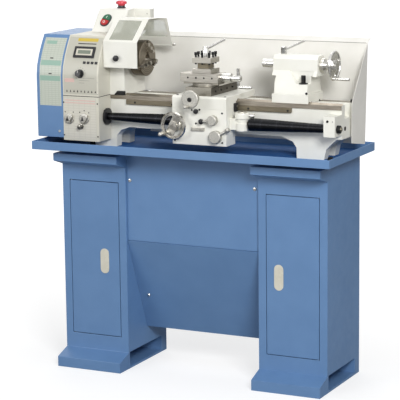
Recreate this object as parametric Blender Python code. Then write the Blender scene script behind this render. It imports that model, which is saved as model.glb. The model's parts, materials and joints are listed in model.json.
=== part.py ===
"""Bench metal lathe on a two-pedestal cabinet stand, as separate working pieces.

Metres, +Z up, origin on the floor under the middle of the machine.
+X runs from the headstock to the tailstock, -Y is the operator's side.
"""

import math

import bmesh
import bpy
from mathutils import Matrix, Vector

# ---------------------------------------------------------------- driving sizes
GAP = 0.0003                 # clearance between pieces that touch
SHEET = 0.003                # stand sheet thickness

TRAY_X0 = -0.555             # chip tray, left to right
TRAY_X1 = 0.565
TRAY_Y0 = -0.200             # chip tray, front to back
TRAY_Y1 = 0.216
TRAY_BASE = 0.7925           # underside of the tray
TRAY_LIP = 0.822             # top of the tray lip

PED_WIDTH = 0.253            # one pedestal, left to right
PED_LEFT_X0 = -0.502
PED_RIGHT_X0 = 0.259
PED_Y0 = -0.083              # pedestal front face
PED_Y1 = 0.213
FOOT_REACH = 0.067           # how far the foot stands out in front
CAP_REACH = 0.063            # how far the cap stands out in front
DOOR_WIDTH = 0.192
DOOR_Z0 = 0.1155
DOOR_Z1 = 0.6700
DOOR_THICK = 0.016
DOOR_GAP = 0.0022

AXIS_Y = 0.0175              # spindle axis
AXIS_Z = 1.103
BED_TOP = 0.978              # flat of the ways: 125 mm centre height
BED_Y0 = -0.050
BED_Y1 = 0.085
BED_X0 = -0.440
BED_X1 = 0.548
BED_BASE = 0.866
WAY_DEPTH = 0.014            # height of the ground front face
FLOOR = TRAY_BASE + 0.0020   # inside floor of the tray

PANEL_X0 = -0.4600           # control housing, left to right
PANEL_X1 = -0.3180
PANEL_Y0 = -0.1380           # front plane of housing, gearbox and end cover
PANEL_SPLIT = 0.979          # seam between control housing and gearbox
COVER_X0 = -0.5650           # belt and gear cover at the left end
HOUSING_TOP = 1.185
HEAD_X1 = -0.2620            # right face of the headstock casting
HEAD_TOP = 1.130

CHUCK_RADIUS = 0.0625
CHUCK_FACE = -0.2060
CHUCK_BACK = -0.2480
BORE_RADIUS = 0.0130

CARRIAGE_X = 0.0550          # middle of cross slide and cross screw
SADDLE_X0 = -0.0370
SADDLE_X1 = 0.1650
APRON_Y0 = -0.1300
APRON_Y1 = -0.0600
APRON_Z0 = 0.8330
SADDLE_TOP = 0.9980
WHEEL_X = -0.0210            # carriage handwheel
THREAD_DIAL_X = 0.2060       # threading dial, right of the apron
SCREW_Y = -0.0880            # leadscrew axis
SCREW_Z = 0.9065
TOP_SLIDE_Y = -0.0550        # axis of the top slide screw and of the tool post
CROSS_HAND_Y = -0.1760       # plane of the cross slide handwheel

TAIL_X0 = 0.2950             # tailstock base, left to right
TAIL_X1 = 0.4150
TAIL_WHEEL_X = 0.4950
CLAMP_X = 0.4030             # tailstock clamp bolt, in a pocket of the body's front
CLAMP_Y = -0.0290
LEDGE_Z = 1.0430             # floor of that pocket

GUARD_Y0 = -0.1020           # chuck guard front panel
GUARD_AXIS_Y = 0.1120        # hinge rod of the chuck guard
GUARD_AXIS_Z = 1.1430

SPEED_AT = Vector((-0.3895, -0.1365, 1.0570))      # on the housing front, under the speed knob
SPEED_OUT = Vector((0.0, -0.9894, 0.1455))
KEY_AT = Vector((-0.3770, -0.1273, 1.0950))        # first of the four keys, on the leaning face
KEY_OUT = Vector((0.0, -0.9267, 0.3757))
KEY_PITCH = 0.0155

BLUE = ("painted_steel_blue", (0.145, 0.250, 0.420), 0.42, 0.0)
WHITE = ("painted_casting_white", (0.820, 0.815, 0.760), 0.45, 0.0)
PANEL = ("painted_panel_ivory", (0.690, 0.680, 0.610), 0.50, 0.0)
STEEL = ("ground_steel", (0.430, 0.400, 0.370), 0.32, 1.0)
BRIGHT = ("polished_steel", (0.700, 0.700, 0.690), 0.22, 1.0)
BLACK = ("black_plastic", (0.015, 0.015, 0.015), 0.40, 0.0)
SPRING = ("blued_spring_steel", (0.020, 0.020, 0.022), 0.35, 0.6)
RUBBER = ("belt_rubber", (0.020, 0.020, 0.020), 0.80, 0.0)
RED = ("red_plastic", (0.650, 0.030, 0.040), 0.40, 0.0)
GREEN = ("green_plastic", (0.030, 0.250, 0.100), 0.40, 0.0)
GREY = ("motor_grey_paint", (0.200, 0.205, 0.210), 0.50, 0.2)


# ---------------------------------------------------------------- small helpers
def clear_scene():
    """Takes away what a new Blender file starts with."""
    for item in list(bpy.data.objects):
        bpy.data.objects.remove(item, do_unlink=True)


def finish(kind):
    """Returns the material of this name, made the first time it is asked for."""
    name, colour, roughness, metallic = kind
    found = bpy.data.materials.get(name)
    if found is None:
        found = bpy.data.materials.new(name)
        found.use_nodes = True
        shader = found.node_tree.nodes["Principled BSDF"]
        shader.inputs["Base Color"].default_value = (*colour, 1.0)
        shader.inputs["Roughness"].default_value = roughness
        shader.inputs["Metallic"].default_value = metallic
    return found


def add_object(name, mesh_data, kind=None):
    """Links a finished bmesh as an object, smooth only where a face is marked so."""
    bmesh.ops.recalc_face_normals(mesh_data, faces=mesh_data.faces)
    mesh = bpy.data.meshes.new(name)
    mesh_data.to_mesh(mesh)
    mesh_data.free()
    made = bpy.data.objects.new(name, mesh)
    bpy.context.scene.collection.objects.link(made)
    if kind is not None:
        mesh.materials.append(finish(kind))
    return made


def block(name, low, high, kind=None):
    """Makes a box between two corners."""
    data = bmesh.new()
    bmesh.ops.create_cube(data, size=1.0)
    for vert in data.verts:
        vert.co = Vector([low[i] + (vert.co[i] + 0.5) * (high[i] - low[i]) for i in range(3)])
    return add_object(name, data, kind)


def prism(name, outline, axis, start, end, kind=None):
    """Pushes a flat outline along one axis. The outline gives the other two coordinates in order."""
    data = bmesh.new()
    rings = []
    for along in (start, end):
        ring = []
        for first, second in outline:
            place = {"x": (along, first, second), "y": (first, along, second), "z": (first, second, along)}
            ring.append(data.verts.new(place[axis]))
        rings.append(ring)
    count = len(outline)
    data.faces.new(rings[0])
    data.faces.new(list(reversed(rings[1])))
    for i in range(count):
        j = (i + 1) % count
        data.faces.new((rings[0][i], rings[1][i], rings[1][j], rings[0][j]))
    return add_object(name, data, kind)


def basis(direction):
    """Returns a rotation whose Z axis is the direction."""
    return Vector(direction).normalized().to_track_quat("Z", "Y").to_matrix().to_4x4()


def turned(name, start, direction, profile, kind=None, sides=32):
    """Turns a profile of (distance along, radius) pairs about a line, round and smooth."""
    data = bmesh.new()
    rings = []
    for along, radius in profile:
        if radius <= 0.0:
            rings.append([data.verts.new((0.0, 0.0, along))])
            continue
        ring = []
        for i in range(sides):
            angle = 2.0 * math.pi * i / sides
            ring.append(data.verts.new((radius * math.cos(angle), radius * math.sin(angle), along)))
        rings.append(ring)
    for low, high in zip(rings, rings[1:]):
        for i in range(sides):
            j = (i + 1) % sides
            if len(low) == 1:
                face = data.faces.new((low[0], high[i], high[j]))
            elif len(high) == 1:
                face = data.faces.new((low[i], low[j], high[0]))
            else:
                face = data.faces.new((low[i], low[j], high[j], high[i]))
            face.smooth = True
    if len(rings[0]) > 1:
        data.faces.new(list(reversed(rings[0])))
    if len(rings[-1]) > 1:
        data.faces.new(rings[-1])
    matrix = Matrix.Translation(Vector(start)) @ basis(direction)
    bmesh.ops.transform(data, matrix=matrix, verts=data.verts)
    return add_object(name, data, kind)


def rod(name, start, direction, length, radius, kind=None, sides=32, edge=0.0):
    """Makes a plain round bar, with a small chamfer on both ends if asked."""
    if edge <= 0.0:
        return turned(name, start, direction, [(0.0, radius), (length, radius)], kind, sides)
    shape = [(0.0, radius - edge), (edge, radius), (length - edge, radius), (length, radius - edge)]
    return turned(name, start, direction, shape, kind, sides)


def ring(name, start, direction, length, outer, inner, kind=None, sides=32):
    """Makes a round tube with square ends."""
    data = bmesh.new()
    loops = []
    for along, radius in ((0.0, inner), (0.0, outer), (length, outer), (length, inner)):
        loop = []
        for i in range(sides):
            angle = 2.0 * math.pi * i / sides
            loop.append(data.verts.new((radius * math.cos(angle), radius * math.sin(angle), along)))
        loops.append(loop)
    for k in range(4):
        low, high = loops[k], loops[(k + 1) % 4]
        for i in range(sides):
            j = (i + 1) % sides
            face = data.faces.new((low[i], low[j], high[j], high[i]))
            face.smooth = k in (1, 3)
    matrix = Matrix.Translation(Vector(start)) @ basis(direction)
    bmesh.ops.transform(data, matrix=matrix, verts=data.verts)
    return add_object(name, data, kind)


def hoop(name, centre, direction, radius, tube, kind=None, sides=28, tube_sides=6):
    """Makes a wheel rim, a round bar bent to a full circle."""
    data = bmesh.new()
    loops = []
    for i in range(sides):
        angle = 2.0 * math.pi * i / sides
        loop = []
        for k in range(tube_sides):
            turn = 2.0 * math.pi * k / tube_sides
            out = radius + tube * math.cos(turn)
            loop.append(data.verts.new((out * math.cos(angle), out * math.sin(angle), tube * math.sin(turn))))
        loops.append(loop)
    for i in range(sides):
        for k in range(tube_sides):
            m = (k + 1) % tube_sides
            j = (i + 1) % sides
            face = data.faces.new((loops[i][k], loops[j][k], loops[j][m], loops[i][m]))
            face.smooth = True
    matrix = Matrix.Translation(Vector(centre)) @ basis(direction)
    bmesh.ops.transform(data, matrix=matrix, verts=data.verts)
    return add_object(name, data, kind)


def combine(target, tool, operation):
    """Adds one exact Boolean step and hides the tool from the render."""
    step = target.modifiers.new(operation.lower(), "BOOLEAN")
    step.operation = operation
    step.solver = "EXACT"
    step.object = tool
    tool.hide_render = True
    tool.display_type = "WIRE"


def cut(target, *tools):
    """Takes the tools away from the target."""
    for tool in tools:
        combine(target, tool, "DIFFERENCE")


def weld(target, *tools):
    """Joins the tools to the target as one body."""
    for tool in tools:
        combine(target, tool, "UNION")


def turn_about(item, centre, axis, degrees):
    """Turns an object's mesh about a line through a point."""
    matrix = Matrix.Translation(Vector(centre)) @ Matrix.Rotation(math.radians(degrees), 4, axis)
    matrix = matrix @ Matrix.Translation(-Vector(centre))
    item.data.transform(matrix)


def put_origin(item, point):
    """Moves an object's origin to a point without moving its shape."""
    item.data.transform(Matrix.Translation(-Vector(point)))
    item.location = Vector(point)


def front_profile(low, back, top=HOUSING_TOP):
    """The side outline shared by the control housing and the end cover: straight, then leaning back."""
    return [
        (PANEL_Y0, low),
        (back, low),
        (back, top),
        (PANEL_Y0 + 0.060, top),
        (PANEL_Y0 + 0.038, top - 0.034),
        (PANEL_Y0 + 0.020, top - 0.067),
        (PANEL_Y0 + 0.005, top - 0.104),
        (PANEL_Y0, top - 0.138),
    ]


def inner_profile(low, back, wall):
    """The same outline moved inward by a wall thickness."""
    top = HOUSING_TOP - wall
    return [
        (PANEL_Y0 + wall, low),
        (back, low),
        (back, top),
        (PANEL_Y0 + 0.062, top),
        (PANEL_Y0 + 0.041, top - 0.033),
        (PANEL_Y0 + 0.023, top - 0.066),
        (PANEL_Y0 + 0.0075, top - 0.102),
        (PANEL_Y0 + wall, top - 0.136),
    ]


# ---------------------------------------------------------------- stand
def make_pedestal(name, x0):
    """One cabinet with a foot and a cap standing out in front, hollow, open at the door."""
    x1 = x0 + PED_WIDTH
    top = TRAY_BASE - GAP
    outline = [
        (PED_Y0 - FOOT_REACH, 0.0),
        (PED_Y0 - FOOT_REACH, 0.037),
        (PED_Y0, 0.059),
        (PED_Y0, 0.727),
        (PED_Y0 - CAP_REACH, 0.747),
        (PED_Y0 - CAP_REACH, 0.774),
        (PED_Y0, 0.774),
        (PED_Y0, top),
        (PED_Y1, top),
        (PED_Y1, 0.0),
    ]
    body = prism(name, outline, "x", x0, x1, BLUE)
    inside = block(name + "_inside", (x0 + SHEET, PED_Y0 + SHEET, 0.063), (x1 - SHEET, PED_Y1 - SHEET, top - SHEET))
    channel = block(name + "_channel", (x0 - 0.01, PED_Y0 + 0.010, 0.008), (x1 + 0.01, PED_Y1 - 0.040, 0.060))
    toe = block(name + "_toe", (x0 + SHEET, PED_Y0 - FOOT_REACH + SHEET, -0.01), (x1 - SHEET, PED_Y0, 0.033))
    middle = (x0 + x1) / 2.0
    half = DOOR_WIDTH / 2.0 + DOOR_GAP
    doorway = block(
        name + "_doorway",
        (middle - half, PED_Y0 - 0.01, DOOR_Z0 - DOOR_GAP),
        (middle + half, PED_Y0 + 0.01, DOOR_Z1 + DOOR_GAP),
    )
    cut(body, inside, channel, toe, doorway)
    return body


def make_door(name, x0, hinge_side):
    """A flush door with a recessed capsule pull, its origin on the hinge line."""
    middle = x0 + PED_WIDTH / 2.0
    left = middle - DOOR_WIDTH / 2.0
    right = middle + DOOR_WIDTH / 2.0
    door = block(name, (left, PED_Y0, DOOR_Z0), (right, PED_Y0 + DOOR_THICK, DOOR_Z1), BLUE)
    pull_x = right - 0.058 if hinge_side < 0 else left + 0.045
    pull_z = 0.387
    data = [
        block(name + "_pull", (pull_x - 0.016, PED_Y0 - 0.01, pull_z - 0.028), (pull_x + 0.016, PED_Y0 + 0.009, pull_z + 0.028)),
        rod(name + "_pull_top", (pull_x, PED_Y0 - 0.01, pull_z + 0.028), (0, 1, 0), 0.019, 0.016, sides=24),
        rod(name + "_pull_base", (pull_x, PED_Y0 - 0.01, pull_z - 0.028), (0, 1, 0), 0.019, 0.016, sides=24),
    ]
    cut(door, *data)
    hinge_x = left + 0.004 if hinge_side < 0 else right - 0.004
    put_origin(door, (hinge_x, PED_Y0 + 0.004, DOOR_Z0))
    return door


def make_stand():
    """Both pedestals, their doors, the two panels between them and the chip tray."""
    make_pedestal("pedestal_left", PED_LEFT_X0)
    make_pedestal("pedestal_right", PED_RIGHT_X0)
    make_door("door_left", PED_LEFT_X0, -1)
    make_door("door_right", PED_RIGHT_X0, 1)
    inner_left = PED_LEFT_X0 + PED_WIDTH + GAP
    inner_right = PED_RIGHT_X0 - GAP
    block("panel_upper", (inner_left, -0.0720, 0.4680), (inner_right, -0.0700, TRAY_BASE - GAP), BLUE)
    slope = [(-0.0760, 0.4660), (-0.0740, 0.4665), (0.0650, 0.1250), (0.0630, 0.1240)]
    prism("panel_lower", slope, "x", inner_left, inner_right, BLUE)
    tray = block("chip_tray", (TRAY_X0, TRAY_Y0, TRAY_BASE), (TRAY_X1, TRAY_Y1, TRAY_LIP), BLUE)
    wall = 0.0025
    hollow = block(
        "chip_tray_hollow",
        (TRAY_X0 + wall, TRAY_Y0 + wall, FLOOR),
        (TRAY_X1 - wall, TRAY_Y1 - wall, TRAY_LIP + 0.01),
    )
    cut(tray, hollow)


# ---------------------------------------------------------------- fixed castings
def make_bed():
    """The bed with its V way, the trough between the ways, two feet and a side arch through each."""
    outline = [
        (BED_Y0, BED_TOP),
        (BED_Y0 + 0.007, BED_TOP),
        (BED_Y0 + 0.014, BED_TOP + 0.007),
        (BED_Y0 + 0.021, BED_TOP),
        (BED_Y0 + 0.028, BED_TOP),
        (BED_Y0 + 0.028, BED_TOP - 0.045),
        (BED_Y1 - 0.040, BED_TOP - 0.045),
        (BED_Y1 - 0.040, BED_TOP),
        (BED_Y1, BED_TOP),
        (BED_Y1, BED_BASE),
        (BED_Y0 + 0.003, BED_BASE),
        (BED_Y0 + 0.003, BED_TOP - WAY_DEPTH),
        (BED_Y0, BED_TOP - WAY_DEPTH),
    ]
    bed = prism("bed", outline, "x", BED_X0, BED_X1, WHITE)
    foot_y0 = BED_Y0 + 0.003
    base = FLOOR + GAP
    join = BED_BASE + 0.004
    belly = block("bed_belly", (-0.2300, BED_Y0 + 0.0150, BED_BASE - 0.02), (0.3100, BED_Y1 - 0.0120, 0.9180))
    left = [(-0.385, base), (-0.300, base), (-0.297, 0.836), (-0.280, 0.855), (-0.248, BED_BASE), (-0.248, join)]
    left += [(-0.420, join), (-0.420, BED_BASE), (-0.390, 0.845)]
    right = [(0.386, base), (0.484, base), (0.492, 0.830), (0.520, 0.858), (0.530, BED_BASE), (0.530, join)]
    right += [(0.330, join), (0.330, BED_BASE), (0.372, 0.850), (0.385, 0.830)]
    for side, shape in (("left", left), ("right", right)):
        foot = prism("bed_foot_" + side, shape, "y", foot_y0, BED_Y1)
        weld(bed, foot)
    cut(bed, belly)
    for side, x0, x1 in (("left", -0.44, -0.24), ("right", 0.30, 0.56)):
        arch = rod("bed_arch_" + side, (x0, 0.019, 0.824), (1, 0, 0), x1 - x0, 0.030, sides=24)
        slot = block("bed_arch_slot_" + side, (x0, -0.011, base - 0.01), (x1, 0.049, 0.824))
        cut(bed, arch, slot)
    block("rack", (-0.2550, BED_Y0 - 0.0050, 0.9467), (0.3690, BED_Y0 + 0.0027, BED_TOP - WAY_DEPTH - GAP), STEEL)
    bracket = block("leadscrew_bracket", (0.5080, -0.1100, 0.8820), (0.5480, BED_Y0 + 0.0027, 0.9500), WHITE)
    bore = rod("leadscrew_bracket_bore", (0.49, SCREW_Y, SCREW_Z), (1, 0, 0), 0.08, 0.0083, sides=32)
    cut(bracket, bore)


def make_headstock():
    """Headstock casting, control housing, gearbox housing, end cover and electrical box."""
    head = block("headstock", (BED_X0, -0.0520, BED_TOP + GAP), (HEAD_X1, 0.1000, HEAD_TOP), WHITE)
    notch = prism(
        "headstock_notch",
        [(BED_Y0 + 0.0062, BED_TOP - 0.01), (BED_Y0 + 0.0062, BED_TOP + 0.0005), (BED_Y0 + 0.014, BED_TOP + 0.0082)]
        + [(BED_Y0 + 0.0218, BED_TOP + 0.0005), (BED_Y0 + 0.0218, BED_TOP - 0.01)],
        "x",
        BED_X0 - 0.01,
        HEAD_X1 + 0.01,
    )
    bore = rod("headstock_bore", (BED_X0 - 0.01, AXIS_Y, AXIS_Z), (1, 0, 0), 0.25, 0.0265, sides=32)
    cut(head, notch, bore)
    housing = prism("control_housing", front_profile(PANEL_SPLIT + GAP, 0.1300), "x", PANEL_X0, PANEL_X1, PANEL)
    room = block("control_housing_room", (PANEL_X0 - 0.01, -0.0523, 0.96), (PANEL_X1 + 0.01, 0.1003, HEAD_TOP + 0.0003))
    chamber = prism("control_housing_chamber", inner_profile(0.990, -0.0560, 0.004), "x", PANEL_X0 + 0.004, PANEL_X1 - 0.004)
    speed_hole = rod("control_housing_speed_hole", SPEED_AT - SPEED_OUT * 0.03, SPEED_OUT, 0.06, 0.0043, sides=20)
    cut(housing, room, chamber, speed_hole)
    for i in range(4):
        start = KEY_AT + Vector((i * KEY_PITCH, 0.0, 0.0)) - KEY_OUT * 0.03
        hole = rod("control_housing_key_hole_%d" % (i + 1), start, KEY_OUT, 0.06, 0.0043, sides=16)
        cut(housing, hole)
    gearbox = block("gearbox_housing", (PANEL_X0, PANEL_Y0, 0.8225), (PANEL_X1, BED_Y0 - 0.0025, PANEL_SPLIT), PANEL)
    for i, (x, z, radius) in enumerate(((-0.4360, 0.8990, 0.0063), (-0.3760, 0.9010, 0.0063), (-0.3890, 0.8730, 0.0043))):
        hole = rod("gearbox_hole_%d" % (i + 1), (x, PANEL_Y0 - 0.01, z), (0, 1, 0), 0.05, radius, sides=20)
        cut(gearbox, hole)
    screw_bore = rod("gearbox_screw_bore", (PANEL_X1 - 0.110, SCREW_Y, SCREW_Z), (1, 0, 0), 0.13, 0.0083, sides=32)
    cut(gearbox, screw_bore)
    cover = prism("end_cover", front_profile(0.8300, 0.1580), "x", COVER_X0, PANEL_X0 - 0.0006, BLUE)
    hollow = prism("end_cover_hollow", inner_profile(0.8330, 0.1550, 0.003), "x", COVER_X0 + 0.003, PANEL_X0 + 0.01)
    cut(cover, hollow)
    put_origin(cover, (PANEL_X0 - 0.0006, 0.1580, 0.8300))
    box_profile = [
        (0.0400, HOUSING_TOP + GAP),
        (0.1300, HOUSING_TOP + GAP),
        (0.1800, HOUSING_TOP + GAP),
        (0.1800, 1.2620),
        (0.1040, 1.2620),
    ]
    box = prism("electrical_box", box_profile, "x", -0.4410, -0.3240, WHITE)
    wing = block("electrical_box_wing", (-0.3300, 0.1500, HOUSING_TOP + GAP), (HEAD_X1, 0.1800, 1.2620))
    weld(box, wing)
    estop_hole = rod("electrical_box_estop_hole", (-0.3800, 0.1550, 1.2500), (0, 0, 1), 0.05, 0.0083, sides=24)
    cut(box, estop_hole)
    face = Vector((0.0, -0.0767, 0.0640)).normalized()
    centre = Vector((-0.3980, 0.0720, 1.2235))
    side = Vector((0.0, 0.0640, 0.0767)).normalized()
    for label, shift in (("start", 0.0115), ("stop", -0.0115)):
        start = centre + side * shift - face * 0.02
        hole = rod("electrical_box_%s_hole" % label, start, face, 0.05, 0.0083, sides=24)
        cut(box, hole)
    return centre, face, side


def make_splash_guard():
    """The rear splash sheet with a folded top lip and one side wing at the tailstock end."""
    thick = 0.0015
    left, right = -0.3000, 0.5570
    back = [
        (0.1420, 0.8250),
        (0.1640, 1.1670),
        (0.1900, 1.1810),
        (0.1900 + thick, 1.1810 - thick),
        (0.1640 + thick, 1.1670 - 0.0010),
        (0.1420 + thick, 0.8250),
    ]
    sheet = prism("splash_guard", back, "x", left, right, WHITE)
    wing = prism(
        "splash_guard_wing",
        [(0.0200, 0.8450), (0.1425, 0.8250), (0.1645, 1.1670), (0.0250, 0.9850), (0.0200, 0.9650)],
        "x",
        right - thick,
        right,
    )
    weld(sheet, wing)
    motor_room = block("splash_guard_motor_room", (left - 0.01, 0.10, 0.80), (-0.2640, 0.20, 0.9770))
    cut(sheet, motor_room)
    for label, x in (("left", -0.0600), ("right", 0.4400)):
        arm = block("splash_guard_arm_" + label, (x, BED_Y1 + GAP, 0.9000), (x + 0.0300, 0.1480, 0.9080))
        weld(sheet, arm)


# ---------------------------------------------------------------- drive
def make_drive():
    """Spindle, chuck, jaws, motor, pulleys and belt."""
    spindle = turned(
        "spindle",
        (-0.5450, AXIS_Y, AXIS_Z),
        (1, 0, 0),
        [(0.0, 0.0150), (0.2833, 0.0150), (0.2833, 0.0390), (CHUCK_BACK - GAP + 0.5450, 0.0390)],
        STEEL,
        36,
    )
    pulley = turned(
        "spindle_pulley",
        (-0.5250, AXIS_Y, AXIS_Z),
        (1, 0, 0),
        [(0.0, 0.045), (0.003, 0.045), (0.005, 0.038), (0.021, 0.038), (0.023, 0.045), (0.026, 0.045)],
        sides=36,
    )
    through = rod("spindle_through", (-0.56, AXIS_Y, AXIS_Z), (1, 0, 0), 0.36, 0.0100, sides=24)
    weld(spindle, pulley)
    cut(spindle, through)
    put_origin(spindle, (CHUCK_BACK, AXIS_Y, AXIS_Z))
    chuck = turned(
        "chuck_body",
        (CHUCK_BACK, AXIS_Y, AXIS_Z),
        (1, 0, 0),
        [(0.0, 0.0610), (0.0015, CHUCK_RADIUS), (0.0405, CHUCK_RADIUS), (0.0420, 0.0610)],
        STEEL,
        48,
    )
    bore = rod("chuck_bore", (CHUCK_BACK - 0.01, AXIS_Y, AXIS_Z), (1, 0, 0), 0.08, 0.0160, sides=32)
    cut(chuck, bore)
    for i in range(3):
        angle = 90.0 + 120.0 * i
        slot = block(
            "chuck_slot_%d" % (i + 1),
            (CHUCK_FACE - 0.0220, AXIS_Y + 0.004, AXIS_Z - 0.0075),
            (CHUCK_FACE + 0.01, AXIS_Y + 0.080, AXIS_Z + 0.0075),
        )
        turn_about(slot, (0, AXIS_Y, AXIS_Z), "X", angle)
        cut(chuck, slot)
        jaw_outline = [
            (CHUCK_FACE - 0.0217, 0.0200),
            (CHUCK_FACE + 0.0260, 0.0200),
            (CHUCK_FACE + 0.0260, 0.0300),
            (CHUCK_FACE + 0.0170, 0.0300),
            (CHUCK_FACE + 0.0170, 0.0400),
            (CHUCK_FACE + 0.0080, 0.0400),
            (CHUCK_FACE + 0.0080, 0.0520),
            (CHUCK_FACE - 0.0217, 0.0520),
        ]
        shape = [(x, AXIS_Y + radius) for x, radius in jaw_outline]
        jaw = prism("chuck_jaw_%d" % (i + 1), shape, "z", AXIS_Z - 0.0072, AXIS_Z + 0.0072, BRIGHT)
        turn_about(jaw, (0, AXIS_Y, AXIS_Z), "X", angle)
        put_origin(jaw, (CHUCK_FACE, AXIS_Y, AXIS_Z))
    put_origin(chuck, (CHUCK_BACK, AXIS_Y, AXIS_Z))
    motor_y, motor_z = 0.1300, 0.9300
    motor = turned(
        "motor",
        (-0.4580, motor_y, motor_z),
        (1, 0, 0),
        [(0.0, 0.0380), (0.004, 0.0440), (0.186, 0.0440), (0.190, 0.0380)],
        GREY,
        32,
    )
    shaft_bore = rod("motor_bore", (-0.47, motor_y, motor_z), (1, 0, 0), 0.06, 0.0073, sides=20)
    cut(motor, shaft_bore)
    pulley = turned(
        "motor_pulley",
        (-0.5250, motor_y, motor_z),
        (1, 0, 0),
        [(0.0, 0.021), (0.003, 0.021), (0.005, 0.015), (0.021, 0.015), (0.023, 0.021), (0.026, 0.021)],
        STEEL,
        28,
    )
    shaft = rod("motor_shaft", (-0.5200, motor_y, motor_z), (1, 0, 0), 0.1000, 0.0070, sides=20)
    weld(pulley, shaft)
    put_origin(pulley, (-0.5250, motor_y, motor_z))
    make_belt(motor_y, motor_z)


def make_belt(motor_y, motor_z):
    """A flat belt round both pulleys, 0.3 mm off them."""
    big, small = 0.0383, 0.0153
    thick = 0.0030
    y0, z0, y1, z1 = AXIS_Y, AXIS_Z, motor_y, motor_z
    distance = math.hypot(y1 - y0, z1 - z0)
    heading = math.atan2(z1 - z0, y1 - y0)
    lean = math.acos((big - small) / distance)
    outlines = []
    for extra in (0.0, thick):
        points = []
        for i in range(19):
            angle = heading + lean + (2.0 * math.pi - 2.0 * lean) * i / 18.0
            points.append((y0 + (big + extra) * math.cos(angle), z0 + (big + extra) * math.sin(angle)))
        for i in range(13):
            angle = heading - lean + 2.0 * lean * i / 12.0
            points.append((y1 + (small + extra) * math.cos(angle), z1 + (small + extra) * math.sin(angle)))
        outlines.append(points)
    belt = prism("drive_belt", outlines[1], "x", -0.5190, -0.5050, RUBBER)
    hole = prism("drive_belt_hole", outlines[0], "x", -0.53, -0.49)
    cut(belt, hole)


def make_chuck_guard():
    """Bent guard over the chuck and its hinge rod."""
    thick = 0.0020
    path = [
        (GUARD_Y0, 1.0790),
        (GUARD_Y0, 1.1690),
        (-0.0120, 1.2420),
        (0.0660, 1.2400),
        (0.0960, 1.1640),
        (GUARD_AXIS_Y - 0.0062, GUARD_AXIS_Z + 0.0010),
    ]
    inner = [
        (GUARD_AXIS_Y - 0.0082, GUARD_AXIS_Z + 0.0010),
        (0.0942, 1.1630),
        (0.0646, 1.2380),
        (-0.0112, 1.2400),
        (GUARD_Y0 + thick, 1.1682),
        (GUARD_Y0 + thick, 1.0790),
    ]
    guard = prism("chuck_guard", path + inner, "x", -0.3160, -0.1520, WHITE)
    trim = block("chuck_guard_trim", (-0.1840, -0.12, 1.06), (-0.14, 0.0600, 1.26))
    cut(guard, trim)
    collar = ring(
        "chuck_guard_collar",
        (-0.3150, GUARD_AXIS_Y, GUARD_AXIS_Z),
        (1, 0, 0),
        0.1600,
        0.0080,
        0.0048,
        sides=20,
    )
    weld(guard, collar)
    put_origin(guard, (-0.3160, GUARD_AXIS_Y, GUARD_AXIS_Z))
    rod("guard_hinge_rod", (PANEL_X1 + GAP, GUARD_AXIS_Y, GUARD_AXIS_Z), (1, 0, 0), 0.1740, 0.0045, BRIGHT, 20, 0.001)


# ---------------------------------------------------------------- leadscrew
def make_leadscrew():
    """Leadscrew and the two telescopic covers."""
    screw = turned(
        "leadscrew",
        (PANEL_X1 - 0.100, SCREW_Y, SCREW_Z),
        (1, 0, 0),
        [(0.0, 0.0080), (0.9820, 0.0080)],
        STEEL,
        24,
    )
    put_origin(screw, (PANEL_X1, SCREW_Y, SCREW_Z))
    make_spiral_cover("cover_left", PANEL_X1 + 0.0106, SADDLE_X0 - 0.0030, 0.0130, 0.0200)
    make_spiral_cover("cover_right", 0.5077, SADDLE_X1 + 0.0700, 0.0150, 0.0220)


def make_spiral_cover(name, small_x, large_x, small_radius, large_radius):
    """A spring steel cover over the leadscrew, small at the fixed end and wide at the carriage."""
    length = abs(large_x - small_x)
    way = 1.0 if large_x > small_x else -1.0
    wall = 0.0015
    data = bmesh.new()
    sides = 20
    steps = 5
    outer = []
    inner = []
    for k in range(steps):
        radius = small_radius + (large_radius - small_radius) * k / (steps - 1)
        for end in (k, k + 1):
            outer.append((length * end / steps, radius))
            inner.append((length * end / steps, radius - wall - (0.0014 if 0 < k else 0.0)))
    outline = outer[:1] + outer[1:] + [(length, inner[-1][1]), (0.0, small_radius - wall)]
    loops = []
    for along, radius in outline:
        loop = []
        for i in range(sides):
            angle = 2.0 * math.pi * i / sides
            loop.append(data.verts.new((way * along, radius * math.cos(angle), radius * math.sin(angle))))
        loops.append(loop)
    count = len(loops)
    for k in range(count):
        low, high = loops[k], loops[(k + 1) % count]
        for i in range(sides):
            j = (i + 1) % sides
            data.faces.new((low[i], low[j], high[j], high[i])).smooth = True
    bmesh.ops.translate(data, vec=(small_x, SCREW_Y, SCREW_Z), verts=data.verts)
    return add_object(name, data, SPRING)


# ---------------------------------------------------------------- carriage
def v_notch(y0):
    """Outline points of the clearance over the V way, from front to back."""
    return [
        (y0 + 0.0065, BED_TOP + GAP),
        (y0 + 0.0140, BED_TOP + 0.0078),
        (y0 + 0.0215, BED_TOP + GAP),
    ]


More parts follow.
